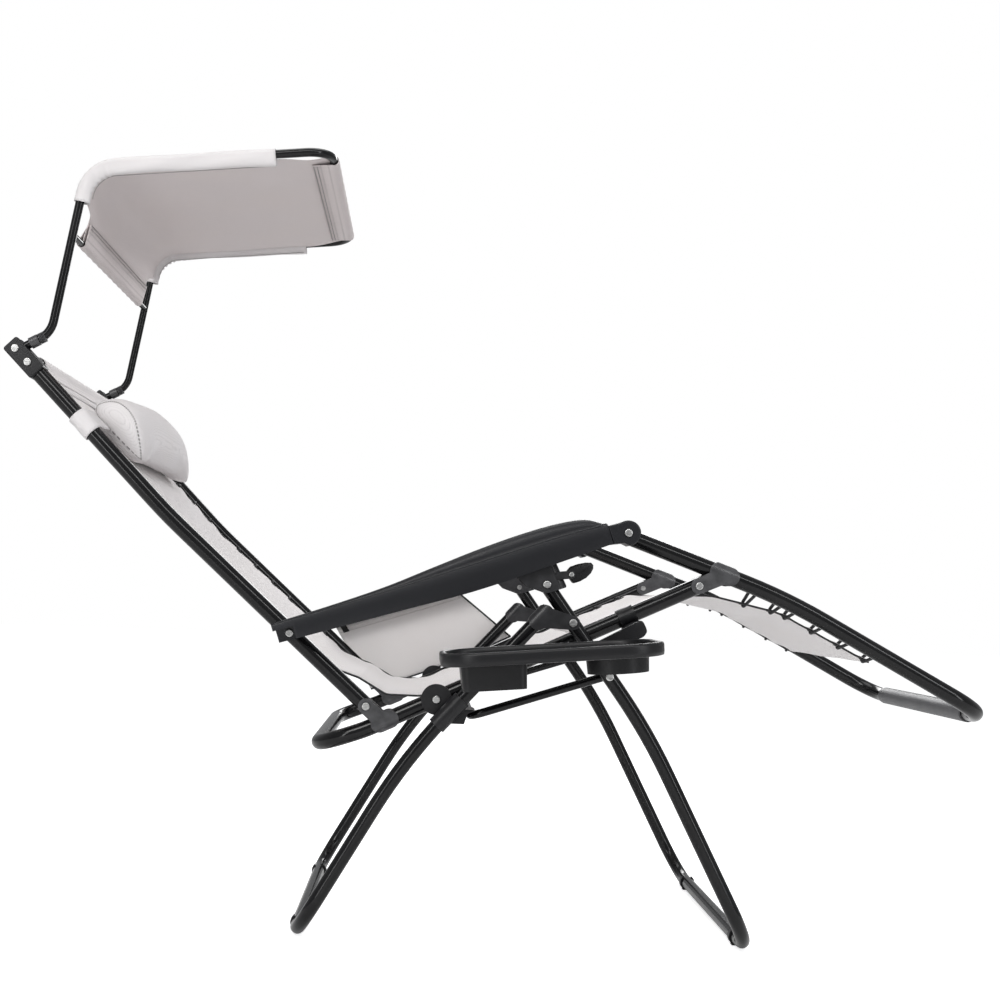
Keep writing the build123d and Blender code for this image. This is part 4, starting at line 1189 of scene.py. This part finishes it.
def recalc(obj):
    work = bmesh.new()
    work.from_mesh(obj.data)
    bmesh.ops.recalc_face_normals(work, faces=work.faces)
    work.to_mesh(obj.data)
    work.free()


def arm_nose(label, hand):
    """The rounded disc at the front pivot and the neck behind it."""
    rows = []
    wide = (ARM_OUT - ARM_IN) / 2 - 0.0002
    outline = []
    radius = 0.019
    neck = 0.0262
    for k in range(25):
        a = math.radians(100 - 200 * k / 24)
        outline.append((ARM_LENGTH + radius * math.cos(a), radius * math.sin(a)))
    for back, height in ((0.010, -0.0125), (neck, -0.0095), (neck, 0.0190), (0.012, 0.0182)):
        outline.append((ARM_LENGTH - back, height))
    for y, inset in (
        (-wide, 0.0030), (-wide, 0.0022), (-wide + 0.0008, 0.0008), (-wide + 0.0028, 0.0),
        (wide - 0.0028, 0.0), (wide - 0.0008, 0.0008), (wide, 0.0022), (wide, 0.0030),
    ):
        row = []
        for run, height in outline:
            centre = (ARM_LENGTH - 0.008, 0.001)
            away = math.dist((run, height), centre)
            share = (away - inset) / away
            run_now = centre[0] + (run - centre[0]) * share
            height_now = centre[1] + (height - centre[1]) * share
            row.append(on_arm(run_now, height_now, hand * (ARM_MIDDLE + y)))
        rows.append(row)
    nose = grid(f"armrest_nose_{label}", rows, "armrest_plastic", close=True)
    fill_ends(nose)
    return nose


TRAY_ANGLE = 5.1
TRAY_REAR = from_scissor(-0.1967, 0.4532)
TRAY_IN, TRAY_WIDE, TRAY_LONG = 0.324, 0.190, 0.303


def on_tray(along, across, up):
    """Point of the tray: along from its rear end, across outward from its inner edge, up from its top."""
    spot = go(go(TRAY_REAR, TRAY_ANGLE, along), TRAY_ANGLE + 90, up)
    return space(spot, -(TRAY_IN + across))


def stadium(inset, radius, count=14):
    """Rounded outline of the tray, inset from its edge, as (along, across) pairs."""
    points = []
    r = max(radius - inset, 0.004)
    for cx, cy, start in (
        (TRAY_LONG - inset - r, TRAY_WIDE - inset - r, 0),
        (inset + r, TRAY_WIDE - inset - r, 90),
        (inset + r, inset + r, 180),
        (TRAY_LONG - inset - r, inset + r, 270),
    ):
        for k in range(count + 1):
            a = math.radians(start + 90 * k / count)
            points.append((cx + r * math.cos(a), cy + r * math.sin(a)))
    return points


def make_tray():
    """The thick rolled rim and the stepped rings round the cup well, on the CAD tray."""
    profile = [
        (0.0068, -0.0150), (0.0010, -0.0182), (-0.0026, -0.0172), (-0.0034, -0.0120),
        (-0.0034, -0.0030), (-0.0024, -0.0004), (0.0, 0.0006), (0.0048, 0.0005),
        (0.0062, -0.0010), (0.0070, -0.0050), (0.0082, -0.0110),
    ]
    rows = []
    for inset, up in profile + profile[:1]:
        rows.append([on_tray(a, c, up) for a, c in stadium(inset, 0.055)])
    rim = grid("tray_rim", rows, "black_plastic", close=True)
    recalc(rim)
    rings = []
    for radius, up in ((0.0445, -0.0112), (0.0480, -0.0114)):
        centre = (TRAY_LONG - 0.056, 0.096)
        points = []
        for k in range(48):
            a = math.tau * k / 48
            points.append(on_tray(centre[0] + radius * math.cos(a), centre[1] + radius * math.sin(a), up))
        rings.append((points, True))
    wells = cord_mesh("tray_cup_rings", rings, 0.0012, "black_plastic")
    for piece in (rim, wells):
        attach(piece, "tray")


LEVER_OUTLINE = [
    (0.0305, 0.0225), (0.0355, 0.0285), (0.0460, 0.0325), (0.0570, 0.0350), (0.0655, 0.0352),
    (0.0690, 0.0315), (0.0690, 0.0262), (0.0660, 0.0195), (0.0590, 0.0120), (0.0500, 0.0065),
    (0.0415, 0.0035), (0.0390, 0.0042), (0.0350, 0.0092), (0.0305, 0.0160),
]


def slab(name, outline, to_point, width, bevel, material):
    """A solid of one side-view outline with rounded rims; to_point takes (x, z, across)."""
    middle = (sum(p[0] for p in outline) / len(outline), sum(p[1] for p in outline) / len(outline))
    rows = []
    for across, inset in (
        (-width / 2, bevel), (-width / 2 + bevel * 0.3, bevel * 0.35), (-width / 2 + bevel, 0.0),
        (width / 2 - bevel, 0.0), (width / 2 - bevel * 0.3, bevel * 0.35), (width / 2, bevel),
    ):
        row = []
        for x, z in outline:
            away = math.dist((x, z), middle)
            share = (away - inset) / away
            inner = (middle[0] + (x - middle[0]) * share, middle[1] + (z - middle[1]) * share)
            row.append(to_point(*inner, across))
        rows.append(row)
    solid = grid(name, rows, material, close=True)
    fill_ends(solid)
    return solid


def make_levers():
    """The lock levers: rounded paddles with a raised rib across and one along."""
    slide = pivot("slide_bracket_turn")
    for hand, label in ((-1, "right"), (1, "left")):
        def to_point(x, z, across):
            return space((slide[0] + x, slide[1] + z), hand * (0.292 + across))

        parts = [
            slab(f"lever_{label}", LEVER_OUTLINE, to_point, 0.0185, 0.0022, "black_plastic")
        ]
        for (ax, az), (bx, bz) in (((0.030, 0.010), (0.0668, 0.0285)), ((0.0485, 0.0325), (0.0520, 0.0085))):
            lines = []
            for face in (-0.0092, 0.0092):
                points = [to_point(ax + (bx - ax) * k / 6, az + (bz - az) * k / 6, face) for k in range(7)]
                lines.append((points, False))
            parts.append(cord_mesh("rib", lines, 0.0008, "black_plastic", 6))
        lever = join(f"lock_paddle_{label}", parts)
        edges = lever.modifiers.new("edges", "EDGE_SPLIT")
        edges.split_angle = math.radians(45)
        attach(lever, f"lever_{label}")
        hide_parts(f"lock_lever_{label}")


def make_tray_clamp():
    """A thin strap over the seat tube with a rounded socket under it for the tray's peg."""
    place_at = go(KNEE, SEAT_ANGLE + 180, 0.118)
    rows = []
    for k in range(9):
        along = go(place_at, SEAT_ANGLE, -0.013 + 0.026 * k / 8)
        row = []
        for turn in range(-60, 245, 10):
            a = math.radians(turn)
            radius = 0.0137 + 0.0003 * math.sin(k * 0.8)
            spot = go(along, SEAT_ANGLE + 90, radius * math.sin(a))
            row.append(space(spot, -BODY_HALF - radius * math.cos(a)))
        rows.append(row)
    strap = grid("tray_clamp_strap", rows, "black_plastic")
    thicken(strap, 0.0018)
    socket = go(place_at, SEAT_ANGLE - 90, 0.021)

    def to_point(x, z, across):
        return space(go(go(socket, SEAT_ANGLE, x), SEAT_ANGLE + 90, z), -(0.2825 + across))

    box = []
    for k in range(32):
        a = math.tau * k / 32
        wide = math.copysign(abs(math.cos(a)) ** 0.5, math.cos(a))
        high = math.copysign(abs(math.sin(a)) ** 0.5, math.sin(a))
        box.append((0.0155 * wide, 0.0118 * high - 0.0005))
    block = slab("tray_clamp_block", box, to_point, 0.041, 0.002, "black_plastic")
    turns = [math.tau * k / 24 for k in range(24)]
    peg_face = [to_point(0.0102 * math.cos(a), 0.0066 * math.sin(a), 0.0206) for a in turns]
    collar = cord_mesh("tray_clamp_collar", [(peg_face, True)], 0.0013, "black_plastic")
    clamp = join("tray_clamp_visual", [strap, block, collar])
    edges = clamp.modifiers.new("edges", "EDGE_SPLIT")
    edges.split_angle = math.radians(50)
    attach(clamp, "seat")
    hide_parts("tray_clamp")


def make_pouch():
    """The cloth side pocket under the left armrest: two soft panels, bound at its front edge."""
    corners = [(0.028, -0.013), (0.278, -0.016), (0.352, -0.128), (0.060, -0.150)]

    def on_panel(u, v, y):
        top = between(corners[0], corners[1], u)
        low = between(corners[3], corners[2], u)
        run, height = between(top, low, v)
        return on_arm(run, height - 0.006 * math.sin(math.pi * u) * v, y)

    rows, uvs = [], []
    section = [v / 16 for v in range(17)]
    for side_of in (0, 1):
        for v in section if side_of == 0 else reversed(section):
            row, uv = [], []
            for k in range(31):
                u = k / 30
                belly = math.sin(math.pi * u) ** 0.6 * math.sin(math.pi * min(v * 0.85 + 0.1, 1))
                crease = 0.0011 * math.sin(u * 17 + v * 6) * math.sin(v * 9)
                y = 0.3197 if side_of == 0 else 0.3206 + 0.0105 * belly
                row.append(on_panel(u, v, y + (crease * belly if side_of else 0)))
                uv.append((u * 0.26, v * 0.13 + side_of * 0.14))
            rows.append(row)
            uvs.append(uv)
    bag = grid("pouch_cloth", rows, "pouch_fabric", uvs)
    thicken(bag, 0.0007)
    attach(bag, "armrest")
    hem = []
    for v, y in ((0.10, 0.3192), (0.11, 0.3215)):
        hem.append(([on_panel(k / 30, v, y) for k in range(31)], False))
    line = cord_mesh("pouch_hem_stitch", hem, 0.0006, "pouch_fabric", sides=6)
    bound = cord_mesh(
        "pouch_binding",
        [
            ([on_panel(0.998, k / 20, 0.3208) for k in range(21)], False),
            ([on_panel(k / 30, 0.99, 0.3208) for k in range(31)], False),
        ],
        0.0021, "lacing",
    )
    clip_rows = []
    for v in (0.0, 0.03, 0.10, 0.13):
        clip_rows.append([on_panel(0.035 + 0.045 * k / 4, v - 0.02, 0.3188) for k in range(5)])
    clip = grid("pouch_clip", clip_rows, "black_plastic")
    thicken(clip, 0.0014)
    for piece in (line, bound, clip):
        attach(piece, "armrest")
    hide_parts("side_pouch")


make_camera()
make_stage()
dress_nodes()
smooth_nodes()
make_slings()
make_canopy()
make_pillow()
make_armrests()
make_tray()
make_levers()
make_tray_clamp()
make_pouch()
